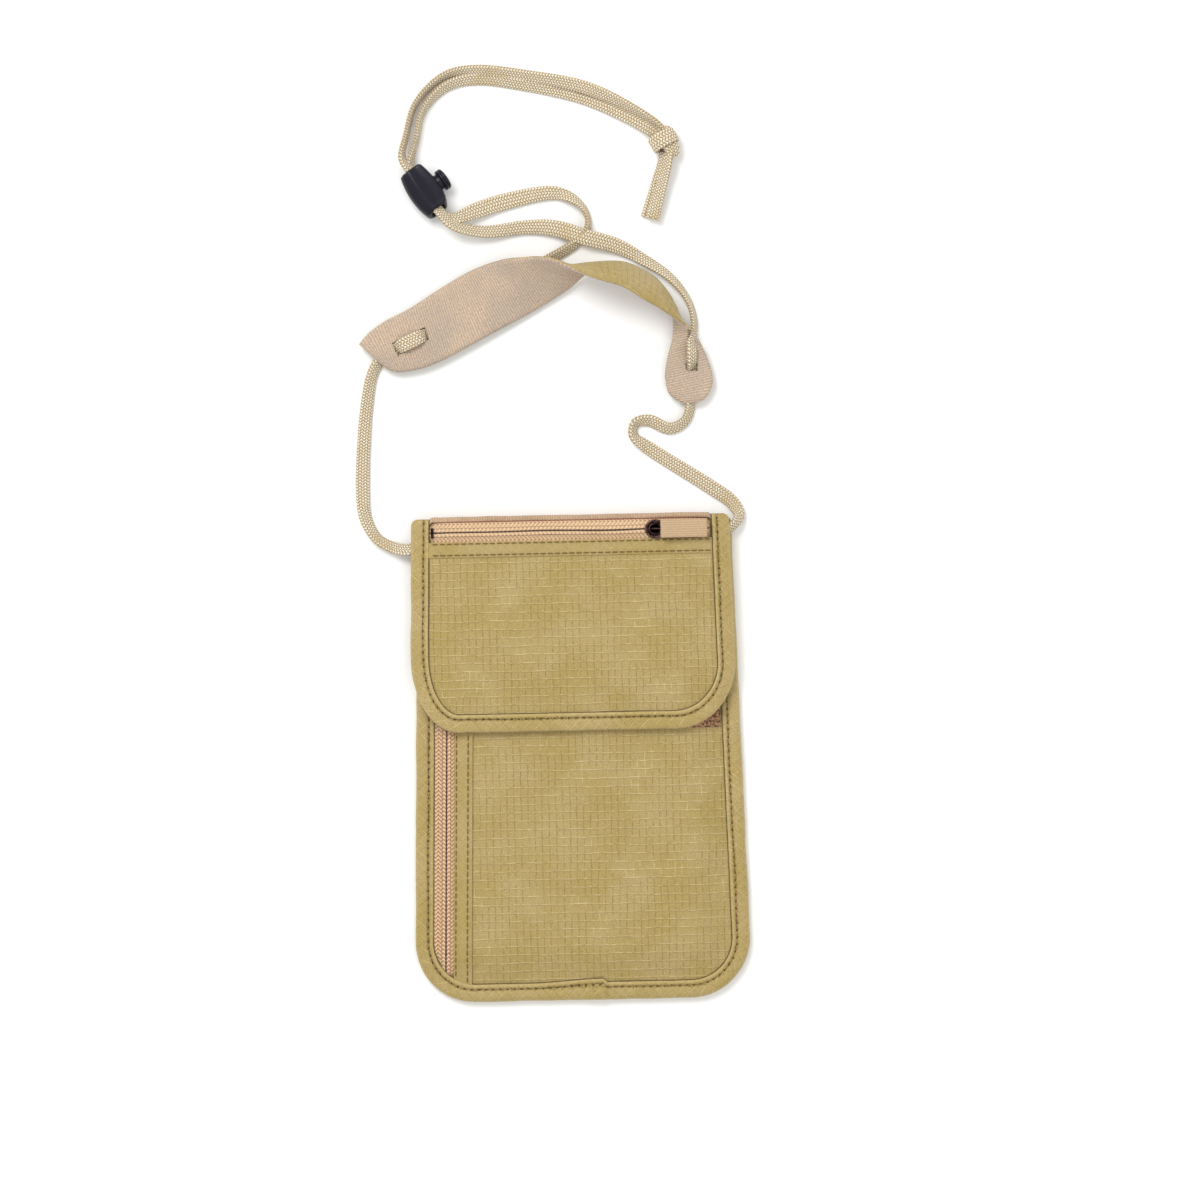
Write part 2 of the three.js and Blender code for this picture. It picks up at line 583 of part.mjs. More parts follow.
// a thin closed sheet over the pad's surface, between two offsets from it
function padSheet([near, far]) {
  const columns = 2 * (padStations.length - 1);
  const at = (i, j, offset) => {
    const [s, t] = [i / columns, j / padRows];
    return padPoint(s, t).addScaledVector(padNormal(s, t), offset);
  };
  const count = (columns + 1) * (padRows + 1);
  const index = (i, j, face) => face * count + i * (padRows + 1) + j;
  const positions = [];
  for (const offset of [near, far]) {
    for (let i = 0; i <= columns; i++) {
      for (let j = 0; j <= padRows; j++) positions.push(...at(i, j, offset).toArray());
    }
  }
  const faces = [];
  const quad = (a, b, c, d) => faces.push(a, b, c, a, c, d);
  for (let i = 0; i < columns; i++) {
    for (let j = 0; j < padRows; j++) {
      quad(index(i, j, 1), index(i + 1, j, 1), index(i + 1, j + 1, 1), index(i, j + 1, 1));
      quad(index(i, j, 0), index(i, j + 1, 0), index(i + 1, j + 1, 0), index(i + 1, j, 0));
    }
    quad(index(i, 0, 0), index(i + 1, 0, 0), index(i + 1, 0, 1), index(i, 0, 1));
    quad(index(i + 1, padRows, 0), index(i, padRows, 0), index(i, padRows, 1),
      index(i + 1, padRows, 1));
  }
  for (let j = 0; j < padRows; j++) {
    quad(index(0, j + 1, 0), index(0, j, 0), index(0, j, 1), index(0, j + 1, 1));
    quad(index(columns, j, 0), index(columns, j + 1, 0), index(columns, j + 1, 1),
      index(columns, j, 1));
  }
  if (far < near) faces.reverse();
  const geometry = new THREE.BufferGeometry();
  geometry.setAttribute("position", new THREE.BufferAttribute(new Float32Array(positions), 3));
  geometry.setIndex(faces);
  return solidOf(geometry);
}

// openings that the cord is threaded through, two near each end: [x, y, turn in degrees, length]
const padOpenings = [[-72, 173.2, 24.5, 5.2], [-61.6, 178.1, 24.5, 5.2], [50.9, 163, 90, 5.8],
  [50.9, 174.4, 90, 8.2]];

function addNeckPad() {
  const openings = padOpenings.map(([x, y, turn, length]) => {
    const reach = [-length / 2, length / 2];
    const cut = extruded(rectangle(reach, [-cordWidth / 2 - 0.4, cordWidth / 2 + 0.4]), 20);
    return solidOf(cut.rotateZ(THREE.MathUtils.degToRad(turn)).translate(x, y, -2));
  });
  const pierced = (sheet) => openings.reduce((rest, opening) => rest.subtract(opening), sheet);
  add("neck_pad_lining", pierced(padSheet(padLining)), "knit");
  add("neck_pad_outer", pierced(padSheet(padOuter)), "ripstop");
}

addBody();
addBindings();
addFrontZip();
addFlap();
addFlapZip();
addFold();
addCords();
addCordLock();
addNeckPad();

export default group;
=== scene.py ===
"""Looks of a flat neck pouch for travel papers: cloth, bindings, zips, braided cord, lock and neck pad.

Shapes are worked out in millimetres in the frame of the CAD part, and meshes are made in metres.
"""
import math

import bpy
import numpy as np
from mathutils import Matrix, Vector, noise


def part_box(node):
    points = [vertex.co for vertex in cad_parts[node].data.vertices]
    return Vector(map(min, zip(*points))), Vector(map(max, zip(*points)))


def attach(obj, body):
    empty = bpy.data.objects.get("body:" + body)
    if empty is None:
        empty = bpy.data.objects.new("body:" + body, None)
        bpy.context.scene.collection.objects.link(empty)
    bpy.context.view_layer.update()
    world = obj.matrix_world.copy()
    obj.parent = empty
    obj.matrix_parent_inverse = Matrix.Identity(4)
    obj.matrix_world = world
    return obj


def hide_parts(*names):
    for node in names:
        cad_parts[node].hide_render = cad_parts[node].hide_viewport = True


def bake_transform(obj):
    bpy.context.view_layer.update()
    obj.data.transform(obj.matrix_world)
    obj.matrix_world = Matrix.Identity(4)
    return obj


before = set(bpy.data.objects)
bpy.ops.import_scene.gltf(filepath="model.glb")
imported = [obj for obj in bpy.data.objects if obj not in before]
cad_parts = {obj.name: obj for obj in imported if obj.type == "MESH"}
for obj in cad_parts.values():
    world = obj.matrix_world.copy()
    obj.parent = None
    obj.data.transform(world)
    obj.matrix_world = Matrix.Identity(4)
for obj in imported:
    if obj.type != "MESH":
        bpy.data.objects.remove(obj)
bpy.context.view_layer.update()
MM = 0.001

# ---- sizes shared with the CAD part, in millimetres ----

FOLD_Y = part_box("top_fold")[1].y / MM
BOTTOM_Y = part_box("body_binding")[0].y / MM
SEWN_TOP_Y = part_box("body_binding")[1].y / MM
MOUTH_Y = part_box("front_panel")[1].y / MM
LENGTH = 203.2
TOP_HALF = 65.5                       # half the width at the fold
BOTTOM_HALF = 70.5
TAPER = (BOTTOM_HALF - TOP_HALF) / LENGTH
# plans: how far the piece reaches past the pouch's side, its bottom, its left and right corners
BODY = {"overlap": 0, "bottom": BOTTOM_Y, "corners": ((25, 25), (25, 25)), "shift": 0}
FLAP_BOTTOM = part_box("flap_binding")[0].y / MM
FLAP = {"overlap": 0.7, "bottom": FLAP_BOTTOM, "corners": ((20, 31), (26, 27)), "shift": -1.6}
FLAP_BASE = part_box("flap_binding")[0].z / MM
TAPE_REACH = 7.2                      # how far in from the rim the bindings reach
STITCH_INSET = 5.0
STITCH_PITCH = 3.0
THREAD = 0.26                         # half its thickness
UNDER_RIM = 6.4                       # outer cloths end this far in, hidden under the binding
INNER_INSET = 6                       # and inner ones this far in
PANEL_LEFT = 23                       # the front cloth starts this far in, beside the zip
ZIP_LINE = 12.6                       # the front zip's slit, in from the left rim
ZIP_RIDGE = 1.3                       # how far a tape bulges over its coil
FACING = (15.8, 23.6)                 # the strip beside the front zip, in from the left rim
FLAP_ZIP_Y = 95
FLAP_FACING = (84.4, 91)
FOLD_START = 98.6                     # where the fold's cloth meets the back and the flap's lining
CORD_WIDTH = 5.4                      # lying flat
CORD_THICK = 1.8

NECK_CORD_LEFT = [
    (-51, 93.6, 5.4), (-60, 90.8, 5.5), (-69, 88.6, 5.2), (-75.5, 89.4, 2.2), (-82.5, 93.3, 1.1),
    (-87.4, 102.2, 1.1), (-88.4, 114, 1.1), (-85.8, 150, 1.1), (-82.2, 164.8, 1.1),
    (-76.9, 170.6, 1.1), (-74, 172.3, 1.6), (-72, 173.2, 3.8), (-70, 174.2, 6.2),
    (-66.8, 175.7, 6.5), (-63.5, 177.2, 6.2), (-61.6, 178.1, 3.8), (-59.7, 179, 1.6),
    (-56.6, 180.4, 1.1), (-46.1, 185.4, 1.1), (-29.1, 196, 1.1), (-12.9, 206.6, 1.1),
    (4.6, 216.8, 1.1), (8.5, 223.2, 1.1), (7.3, 229.2, 1.1), (2.4, 234.2, 1.1), (-5.5, 237, 1.1),
    (-27.9, 233.3, 1.3), (-38.5, 230, 2.6), (-48.4, 227, 4.9), (-53.7, 230, 5.05),
    (-59.3, 238.2, 5.05), (-64.8, 246.3, 5.05), (-65.1, 252, 4.2), (-62.8, 260.5, 2.2),
    (-59.6, 272.6, 1.1), (-50, 282.4, 1.1), (-37.8, 285.4, 1.1), (-15.9, 282.3, 1.1),
    (10, 276.2, 1.1), (35.4, 263.6, 2.8),
]
NECK_CORD_RIGHT = [
    (49, 93.6, 5.4), (57, 92.2, 5.5), (66.4, 95.6, 5.2), (69.2, 100.4, 2.8), (66.4, 105.8, 1.1),
    (57.6, 112.3, 1.1), (30.4, 130.2, 1.1), (25.6, 134.6, 1.1), (26.6, 139.6, 1.1),
    (32.2, 140.6, 1.1), (41, 137, 1.1), (48, 140.8, 1.1), (50.9, 158.6, 1.1), (50.9, 161.2, 1.8),
    (50.9, 163, 4.1), (50.9, 165, 6.6), (50.9, 169, 7.5), (50.8, 173, 5.6), (51.6, 176.4, 3),
    (52.1, 182, 1.1), (49.9, 190.3, 1.1), (42.8, 200.1, 1.1), (30.2, 208.9, 1.1), (20.6, 214, 2),
    (8, 217.7, 3.7), (-6, 222.1, 2.2), (-17.2, 222.8, 1.1), (-36, 221.2, 3.3),
    (-48.4, 224.2, 7.1), (-53.7, 230, 7.4), (-59.3, 238.2, 7.4), (-65.2, 246.8, 7.4),
    (-68.7, 252.4, 6.2), (-67.1, 261.6, 4), (-62.6, 275.6, 3.4), (-50.4, 286.8, 3.4),
    (-38, 288.8, 3.4), (-15.8, 286, 3.4), (10, 280.2, 3.4), (36.4, 266.2, 5.2),
]
# How wide each cord looks from above at each point of its route, as the braid twists and spreads.
SHOWN_LEFT = [
    5, 5, 5, 4.8, 4.2, 5.2, 5.8, 5.2, 4.2, 4.4, 4.6, 5.6, 6, 6, 6, 5.6, 4.6, 4.4, 4.4, 4.2, 4, 4,
    2.2, 2.3, 4.2, 5.8, 7, 6.8, 4.4, 4, 4.6, 4.6, 2.6, 2.2, 2.6, 4, 5, 4.8, 6.2, 6.6,
]
SHOWN_RIGHT = [
    5, 4.6, 3.4, 4.8, 5.8, 6, 5.6, 3.4, 3.6, 5, 4.8, 3.8, 4.2, 4.2, 4.2, 4.2, 4.2, 3.8, 3.2,
    2.5, 2.5, 3.6, 5, 6.4, 6.8, 6.8, 5.8, 5, 4.2, 4.2, 4.6, 4.2, 2.9, 2.2, 2.3, 3, 4.4, 4.6, 5.4, 2.6,
]
CORD_TAIL_LEFT = [(40.2, 248.2, 2.2), (38.4, 242, 1.2), (36.8, 236, 1.1), (34.2, 225.6, 1.1)]
CORD_TAIL_RIGHT = [(42.2, 248.6, 4.8), (40.4, 242, 3.7), (38.4, 235, 3.4), (35.6, 225, 3.4)]


# ---- camera, floor and light ----

ROLL = math.radians(1.2)              # the pouch lies a little askew in the view
VIEW_CENTRE = (0.0102, 0.0657)        # these and the lights are in metres
VIEW_WIDTH = 0.504
CAMERA_HEIGHT = 2.2
SENSOR = 36
LIGHT_TARGET = Vector((0, 0.08, 0))
LIGHTS = [("key", (-0.6, 0.95, 1.35), 0.7, 16), ("fill", (0.9, -0.5, 1.6), 1.6, 7)]
SKY = 0.74
FLOOR_SIDE = 6
FLOOR_GAP = 0.0002                    # between the floor and what lies on it


def add_object(name, data):
    thing = bpy.data.objects.new(name, data)
    bpy.context.scene.collection.objects.link(thing)
    return thing


def make_camera():
    camera = add_object("camera", bpy.data.cameras.new("camera"))
    camera.data.sensor_width = SENSOR
    camera.data.lens = SENSOR * CAMERA_HEIGHT / VIEW_WIDTH
    camera.data.clip_end = 20
    camera.location = (*VIEW_CENTRE, CAMERA_HEIGHT)
    camera.rotation_euler = (0, 0, -ROLL)
    bpy.context.scene.camera = camera


def make_light():
    for name, place, size, power in LIGHTS:
        light = bpy.data.lights.new(name, "AREA")
        light.size = size
        light.energy = power
        lamp = add_object(name, light)
        lamp.location = place
        lamp.rotation_euler = (LIGHT_TARGET - lamp.location).to_track_quat("-Z", "Y").to_euler()
    world = bpy.data.worlds.new("studio")
    world.use_nodes = True
    sky = world.node_tree.nodes["Background"]
    sky.inputs["Color"].default_value = (1, 1, 1, 1)
    sky.inputs["Strength"].default_value = SKY
    bpy.context.scene.world = world
    bpy.context.scene.view_settings.view_transform = "Standard"


def make_floor():
    corners = [(x * FLOOR_SIDE, y * FLOOR_SIDE, 0) for x, y in ((-1, -1), (1, -1), (1, 1), (-1, 1))]
    data = bpy.data.meshes.new("floor")
    data.from_pydata(corners, [], [(0, 1, 2, 3)])
    floor = add_object("floor", data)
    floor.location.z = -FLOOR_GAP
    paint = Paint("floor_paper")
    paint.finish(paint.tone((0.93, 0.93, 0.92), paint.noise(3, 2), 0.01), 0.9)
    floor.data.materials.append(paint.material)


# ---- materials: a small language for node maths ----

def linear(colour):
    """An sRGB colour from 0 to 255, as linear light."""
    return tuple((c / 255 / 12.92) if c <= 10 else ((c / 255 + 0.055) / 1.055) ** 2.4 for c in colour)


class Value:
    """A number inside a material, with ordinary arithmetic."""

    def __init__(self, paint, socket):
        self.paint = paint
        self.socket = socket

    def __add__(self, other):
        return self.paint.math("ADD", self, other)

    def __sub__(self, other):
        return self.paint.math("SUBTRACT", self, other)

    def __rsub__(self, other):
        return self.paint.math("SUBTRACT", other, self)

    def __mul__(self, other):
        return self.paint.math("MULTIPLY", self, other)

    def __abs__(self):
        return self.paint.math("ABSOLUTE", self)

    __radd__ = __add__
    __rmul__ = __mul__

    def fraction(self):
        return self.paint.math("FRACT", self)

    def near(self, place, low, high):
        """1 within `low` of a place, and 0 from `high` away."""
        return abs(self - place).ramp(low, high, 1, 0)

    def wave(self, pitch):
        """From -1 to 1, once every pitch."""
        return self.paint.math("SINE", self * (2 * math.pi / pitch))

    def ramp(self, low, high, out_low=0, out_high=1):
        """A smooth step from out_low at low to out_high at high."""
        node = self.paint.node("ShaderNodeMapRange", interpolation_type="SMOOTHSTEP")
        ends = {"From Min": low, "From Max": high, "To Min": out_low, "To Max": out_high}
        for name, value in ends.items():
            node.inputs[name].default_value = value
        self.paint.join(self, node.inputs["Value"])
        return Value(self.paint, node.outputs["Result"])

    def lines(self, pitch, width, soft):
        """1 on lines of this width, once every pitch, and 0 between them."""
        away = abs((self * (1 / pitch)).fraction() - 0.5) * pitch
        return away.ramp(width / 2, width / 2 + soft, 1, 0)

    def zigzag(self, pitch):
        """From 0 to 1 and back, once every pitch."""
        return abs((self * (1 / pitch)).fraction() * 2 - 1)


class Paint:
    """A procedural material."""

    def __init__(self, name):
        self.material = bpy.data.materials.new(name)
        self.material.use_nodes = True
        self.tree = self.material.node_tree
        self.shader = self.tree.nodes["Principled BSDF"]

    def node(self, kind, **settings):
        node = self.tree.nodes.new(kind)
        for name, value in settings.items():
            setattr(node, name, value)
        return node

    def join(self, source, socket):
        if isinstance(source, Value):
            self.tree.links.new(source.socket, socket)
        elif isinstance(source, tuple) and len(source) == 3:
            socket.default_value = (*source, 1)
        else:
            socket.default_value = source

    def math(self, operation, *terms):
        node = self.node("ShaderNodeMath", operation=operation)
        for socket, term in zip(node.inputs, terms):
            self.join(term, socket)
        return Value(self, node.outputs[0])

    def mix(self, share, first, second):
        """A colour between two others. Colours are linear triples or Values."""
        node = self.node("ShaderNodeMix", data_type="RGBA")
        for index, source in ((0, share), (6, first), (7, second)):
            self.join(source, node.inputs[index])
        return Value(self, node.outputs[2])

    def tone(self, colour, share, amount):
        """A colour made darker and lighter by a share that goes from 0 to 1."""
        node = self.node("ShaderNodeHueSaturation")
        self.join(colour, node.inputs["Color"])
        self.join(share * (2 * amount) + (1 - amount), node.inputs["Value"])
        return Value(self, node.outputs["Color"])

    def place(self, layer="flat"):
        """The two coordinates of a UV layer, in millimetres."""
        node = self.node("ShaderNodeUVMap", uv_map=layer)
        split = self.node("ShaderNodeSeparateXYZ")
        self.tree.links.new(node.outputs["UV"], split.inputs[0])
        return [Value(self, split.outputs[k]) * (1 / MM) for k in range(2)]

    def point(self, x, y):
        node = self.node("ShaderNodeCombineXYZ")
        self.join(x, node.inputs[0])
        self.join(y, node.inputs[1])
        return Value(self, node.outputs[0])

    def noise(self, scale, detail=2, at=None):
        """Noise from 0 to 1, with `scale` blobs in a unit. The unit is a metre, or that of `at`."""
        node = self.node("ShaderNodeTexNoise")
        node.inputs["Scale"].default_value = scale
        node.inputs["Detail"].default_value = detail
        if at is None:
            at = Value(self, self.node("ShaderNodeTexCoord").outputs["Object"])
        self.join(at, node.inputs["Vector"])
        return Value(self, node.outputs["Fac"])

    def finish(self, colour, roughness, height=None, depth=0.1, metallic=0, sheen=0, shine=0.5):
        """Sets the shader. height is a bump from 0 to 1, `depth` millimetres deep."""
        self.join(colour, self.shader.inputs["Base Color"])
        self.join(roughness, self.shader.inputs["Roughness"])
        self.shader.inputs["Metallic"].default_value = metallic
        self.shader.inputs["Sheen Weight"].default_value = sheen
        self.shader.inputs["Specular IOR Level"].default_value = shine
        self.shader.inputs["Sheen Roughness"].default_value = 0.4
        if height is not None:
            bump = self.node("ShaderNodeBump")
            bump.inputs["Distance"].default_value = depth * MM
            self.join(height, bump.inputs["Height"])
            self.tree.links.new(bump.outputs["Normal"], self.shader.inputs["Normal"])
        return self.material


def ripstop_colour(paint, u, v, strength=1.0):
    """Fine cloth with a raised grid: pale threads one way, darker ones the other, painted sheen on the grid
    in patches, and a painted shadow beside each pale thread. (colour, height)
    """
    at = paint.point(u, v)
    turned = paint.point(v, u)
    u = u + (paint.noise(0.07, 2, at) - 0.5) * 1.8
    v = v + (paint.noise(0.07, 2, turned) - 0.5) * 1.6
    across = v.lines(3.5, 0.16, 0.22)
    down = u.lines(2.9, 0.14, 0.2) * (1 - across)
    # painted sheen: patches where the grid threads are painted lighter, as if catching the light
    shine = paint.noise(0.055, 3, at).ramp(0.5, 0.66)
    dash_across = paint.noise(0.4, 2, at).ramp(0.42, 0.56)
    dash_down = paint.noise(0.5, 2, turned).ramp(0.46, 0.58)
    patches = paint.noise(0.045, 4, turned).ramp(0.34, 0.66)
    cloth = paint.mix(patches, linear((173, 151, 98)), linear((165, 143, 80)))
    cloth = paint.tone(cloth, paint.noise(1.9, 3, at), 0.55)
    cloth = paint.tone(cloth, paint.noise(0.35, 2, turned), 0.12)
    # darker threads, painted paler where the painted sheen falls
    dark = down * (0.3 + dash_down * 0.5) * (1 - shine)
    cloth = paint.mix(dark * strength, cloth, linear((138, 110, 44)))
    # pale threads, brightened further by the painted sheen
    light = across * (shine * 0.3 + dash_across * 0.42 + 0.08) + down * shine * (0.15 + 0.5 * dash_down)
    cloth = paint.mix(light * strength, cloth, linear((214, 196, 142)))
    # painted shadow: a thin dark line just beside each raised pale thread
    under = (v + 0.35).lines(3.5, 0.12, 0.3) * strength
    cloth = paint.mix(under * 0.22, cloth, linear((128, 102, 44)))
    weave = u.wave(0.62) * v.wave(0.62)
    return cloth, across * 0.8 + down * 0.6 + weave * 0.3


def ripstop_paint():
    paint = Paint("ripstop_cloth")
    colour, height = ripstop_colour(paint, *paint.place())
    return paint.finish(colour, 0.62, height, 0.14, sheen=0.15)


def bias_colour(paint, strength):
    """The same cloth, cut at 45 degrees to its threads."""
    along, across = paint.place()
    half = math.sqrt(0.5)
    return ripstop_colour(paint, (along + across) * half, (along - across) * half, strength)


def facing_paint():
    """Narrow strips of the same cloth, cut on the bias."""
    paint = Paint("ripstop_facing")
    colour, height = bias_colour(paint, 0.3)
    return paint.finish(colour, 0.65, height, 0.1, sheen=0.1)


def binding_paint():
    """Bias tape: faint diagonals, a seam that puckers it, painted highlights on its outer fold and inner
    lip, and painted shade under its inner lip.
    """
    paint = Paint("bias_binding")
    along, across = paint.place()
    colour, height = bias_colour(paint, 0.62)
    flecks = paint.noise(1.1, 2, paint.point(along, across * 1.4))
    speck = flecks.ramp(0.5, 0.62) * across.near(STITCH_INSET, 0.5, 1.1)
    hole = along.lines(STITCH_PITCH, 0.7, 0.35) * across.near(STITCH_INSET, 0.3, 0.6)
    colour = paint.mix(across.near(STITCH_INSET, 0.2, 1.2) * 0.3, colour, linear((150, 122, 54)))
    # painted highlight along the inner lip
    colour = paint.mix(across.ramp(6, 6.5) * 0.22, colour, linear((214, 194, 136)))
    # painted highlight along the outer folded edge
    colour = paint.mix(across.ramp(1.1, 0.1) * 0.3, colour, linear((206, 188, 138)))
    colour = paint.mix(speck * 0.6 + hole * 0.8, colour, linear((62, 44, 12)))
    # painted shade under the inner lip
    colour = paint.mix(across.ramp(6.95, 7.15) * 0.85, colour, linear((74, 52, 20)))
    return paint.finish(colour, 0.68, height * 0.6 - hole * 0.6 - speck * 0.4, 0.15, sheen=0.1)


def tape_paint(name, edge, contrast):
    """Herringbone zip tape. Across is counted from the slit, and from `edge` on the tape is in shade."""
    paint = Paint(name)
    along, across = paint.place()
    at = paint.point(along, across)
    twill = (along + across.zigzag(2.3) * 1.15).lines(1.7, 0.56, 0.3)
    away = abs(across)
    dots = along.lines(1.7, 0.8, 0.25) * (away.near(1.75, 0.1, 0.3) + away.near(3.5, 0.1, 0.3) * 0.6)
    colour = paint.mix(paint.noise(0.15, 2, at), linear((228, 196, 158)), linear((214, 182, 142)))
    colour = paint.tone(colour, paint.noise(1.6, 2, at), 0.4)
    colour = paint.mix(twill * contrast, colour, linear((156, 112, 74)))
    colour = paint.mix(dots * 0.65, colour, linear((104, 64, 36)))
    # painted shade down the slit between the two tapes
    slit = away.ramp(0.16, 0.34, 1, 0) * (0.7 + along.lines(1.2, 0.7, 0.3) * 0.3)
    colour = paint.mix(slit, colour, linear((58, 26, 14)))
    colour = paint.mix(away.ramp(edge, edge + 0.2) * 0.85, colour, linear((116, 54, 40)))
    return paint.finish(colour, 0.75, twill * -0.5 - dots, 0.14, sheen=0.2)


def knit_paint(name, pale, deep, patchy=0.1):
    """Ribbed knit, its ribs across the strip."""
    paint = Paint(name)
    along, across = paint.place()
    at = paint.point(along, across)
    wobble = paint.noise(0.5, 2, at)
    rib = (along + wobble * 0.3).wave(1.05) * 0.5 + 0.5
    loops = (across + wobble * 0.4).wave(0.8) * 0.5 + 0.5
    turned = paint.point(across, along)
    colour = paint.mix(paint.noise(0.05, 2, at).ramp(0.35, 0.65), linear(pale), linear(deep))
    colour = paint.tone(colour, paint.noise(0.045, 2, turned), patchy)
    colour = paint.tone(colour, paint.noise(1.3, 3, at), 0.4)
    warm = paint.noise(1.0, 2, turned)
    colour = paint.mix(warm.ramp(0.52, 0.66) * 0.3, colour, linear((226, 190, 150)))
    colour = paint.mix(warm.ramp(0.48, 0.36) * 0.3, colour, linear((150, 136, 140)))
    colour = paint.mix((1 - rib) * 0.42, colour, linear((132, 108, 96)))
    return paint.finish(colour, 0.9, rib * 0.8 + loops * 0.3, 0.22, sheen=0.3)


def ribbon_paint():
    paint = Paint("pull_ribbon")
    along, across = paint.place()
    stripe = across.lines(0.95, 0.3, 0.25)
    rib = along.wave(0.5) * 0.5 + 0.5
    flecks = paint.noise(1.2, 2, paint.point(along, across))
    colour = paint.tone(linear((198, 170, 134)), flecks, 0.25)
    colour = paint.mix(stripe * 0.4, colour, linear((156, 118, 86)))
    colour = paint.tone(colour, rib, 0.05)
    return paint.finish(colour, 0.72, rib * 0.5 - stripe * 0.5, 0.12, sheen=0.2)


def braid_paint():
    """Flat braid: columns of slanted stitches that lean one way and the other."""
    paint = Paint("cord_braid")
    along, across = paint.place()
    stitch = (along + across.zigzag(2.16)).lines(1.25, 0.3, 0.34)
    valley = across.lines(1.08, 0.1, 0.2)
    at = paint.point(along, across)
    speck = paint.noise(1.3, 2, at).ramp(0.38, 0.62)
    colour = paint.mix(speck, linear((255, 252, 236)), linear((244, 226, 186)))
    colour = paint.mix(stitch * 0.74, colour, linear((146, 112, 58)))
    colour = paint.mix(valley * 0.5, colour, linear((150, 114, 60)))
    worn = paint.noise(0.05, 1, at).ramp(0.56, 0.68)
    colour = paint.mix(worn * 0.25, colour, linear((190, 158, 88)))
    return paint.finish(colour, 0.6, stitch * -0.7 - valley * 0.4, 0.45, sheen=0.2)


def thread_paint():
    paint = Paint("sewing_thread")
    colour = paint.tone(linear((116, 90, 38)), paint.noise(900, 2), 0.4)
    return paint.finish(colour, 0.6, paint.noise(5000, 1), 0.05)


def lining_paint():
    paint = Paint("lining_cloth")
    u, v = paint.place()
    weave = u.wave(0.5) * v.wave(0.5)
    colour = paint.tone(linear((168, 148, 100)), paint.noise(0.08, 3, paint.point(u, v)), 0.08)
    return paint.finish(colour, 0.5, weave * 0.5 + 0.5, 0.05)


def foil_paint():
    paint = Paint("shield_film")
    u, v = paint.place()
    crease = paint.noise(0.12, 5, paint.point(u, v))
    colour = paint.tone(linear((186, 184, 178)), crease, 0.1)
    return paint.finish(colour, 0.35, crease, 0.8, metallic=0.75)


def pile_paint(name, coarse):
    """Hook or loop tape: a rough pile."""
    paint = Paint(name)
    u, v = paint.place()
    fuzz = paint.noise(coarse, 4, paint.point(u, v))
    colour = paint.mix(fuzz.ramp(0.38, 0.62), linear((92, 58, 34)), linear((182, 140, 104)))
    return paint.finish(colour, 0.95, fuzz, 0.6, sheen=0.4)


def plastic_paint():
    paint = Paint("lock_plastic")
    grain = paint.noise(2600, 3)
    colour = paint.tone(linear((20, 17, 30)), paint.noise(160, 3), 0.25)
    return paint.finish(colour, grain.ramp(0.3, 0.7, 0.26, 0.4), grain, 0.03, shine=0.3)


def bronze_paint():
    paint = Paint("zip_metal")
    worn = paint.noise(700, 4)
    colour = paint.mix(worn.ramp(0.5, 0.75), linear((74, 50, 46)), linear((128, 104, 100)))
    return paint.finish(colour, worn.ramp(0.3, 0.7, 0.22, 0.4), worn, 0.02, metallic=0.85)


def shaded_coil_paint():
    paint = Paint("zip_coil")
    # dark brown, made darker still as painted shade for the slit the coil sits in
    colour = paint.tone(linear((64, 42, 26)), paint.noise(800, 2), 0.3)
    return paint.finish(colour, 0.45)


def steel_paint():
    paint = Paint("spring_steel")
    gloss = paint.noise(900, 2).ramp(0.3, 0.7, 0.2, 0.35)
    return paint.finish(linear((190, 192, 196)), gloss, metallic=1)


# ---- meshes ----

def smooth(low, high, x):
    """A smooth step from 0 at `low` to 1 at `high`, which may be the lower of the two."""
    t = np.clip((np.asarray(x, float) - low) / (high - low), 0, 1)
    return t * t * (3 - 2 * t)


def ripple(x, y, size, seed):
    """Smooth noise from about -1 to 1, one blob every `size` millimetres."""
    x, y = np.broadcast_arrays(np.asarray(x, float), np.asarray(y, float))
    values = [noise.noise(Vector((a / size, b / size, seed))) for a, b in zip(x.ravel(), y.ravel())]
    return np.array(values).reshape(x.shape)


def quads(rows, columns, wrap_rows=False, wrap_columns=False):
    """The faces between the points of a grid, numbered row by row."""
    faces = []
    for i in range(rows if wrap_rows else rows - 1):
        for j in range(columns if wrap_columns else columns - 1):
            a, b = i * columns, ((i + 1) % rows) * columns
            k = (j + 1) % columns
            faces.append((a + j, b + j, b + k, a + k))
    return faces


def mesh_object(name, points, faces, flat=None):
    """points in millimetres; flat holds each point's place in the cut cloth, in millimetres."""
    data = bpy.data.meshes.new(name)
    data.from_pydata((np.asarray(points).reshape(-1, 3) * MM).tolist(), [], faces)
    if flat is not None:
        layer = data.uv_layers.new(name="flat")
        corner = np.zeros(len(data.loops), int)
        data.loops.foreach_get("vertex_index", corner)
        layer.data.foreach_set("uv", (np.asarray(flat).reshape(-1, 2)[corner] * MM).ravel())
    data.polygons.foreach_set("use_smooth", np.ones(len(data.polygons), bool))
    data.update()
    return add_object(name, data)


def thicken(piece, thick, offset=-1):
    solid = piece.modifiers.new("thickness", "SOLIDIFY")
    solid.thickness = thick * MM
    solid.offset = offset
    return piece


def dress(piece, material, body, slot, *nodes):
    """Gives a piece its material and body, and hides the CAD nodes it stands for. `slot` is not used."""
    piece.data.materials.clear()
    piece.data.materials.append(material)
    if body:
        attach(piece, body)
    if nodes:
        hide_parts(*nodes)
    return piece


def panel(name, points, thick, material, body, slot, node, flat=None):
    """A sheet through a grid of points. Its cloth is cut flat in plan unless `flat` says how."""
    flat = points[..., :2] if flat is None else flat
    sheet = thicken(mesh_object(name, points, quads(*points.shape[:2]), flat), thick)
    return dress(sheet, material, body, slot, node)


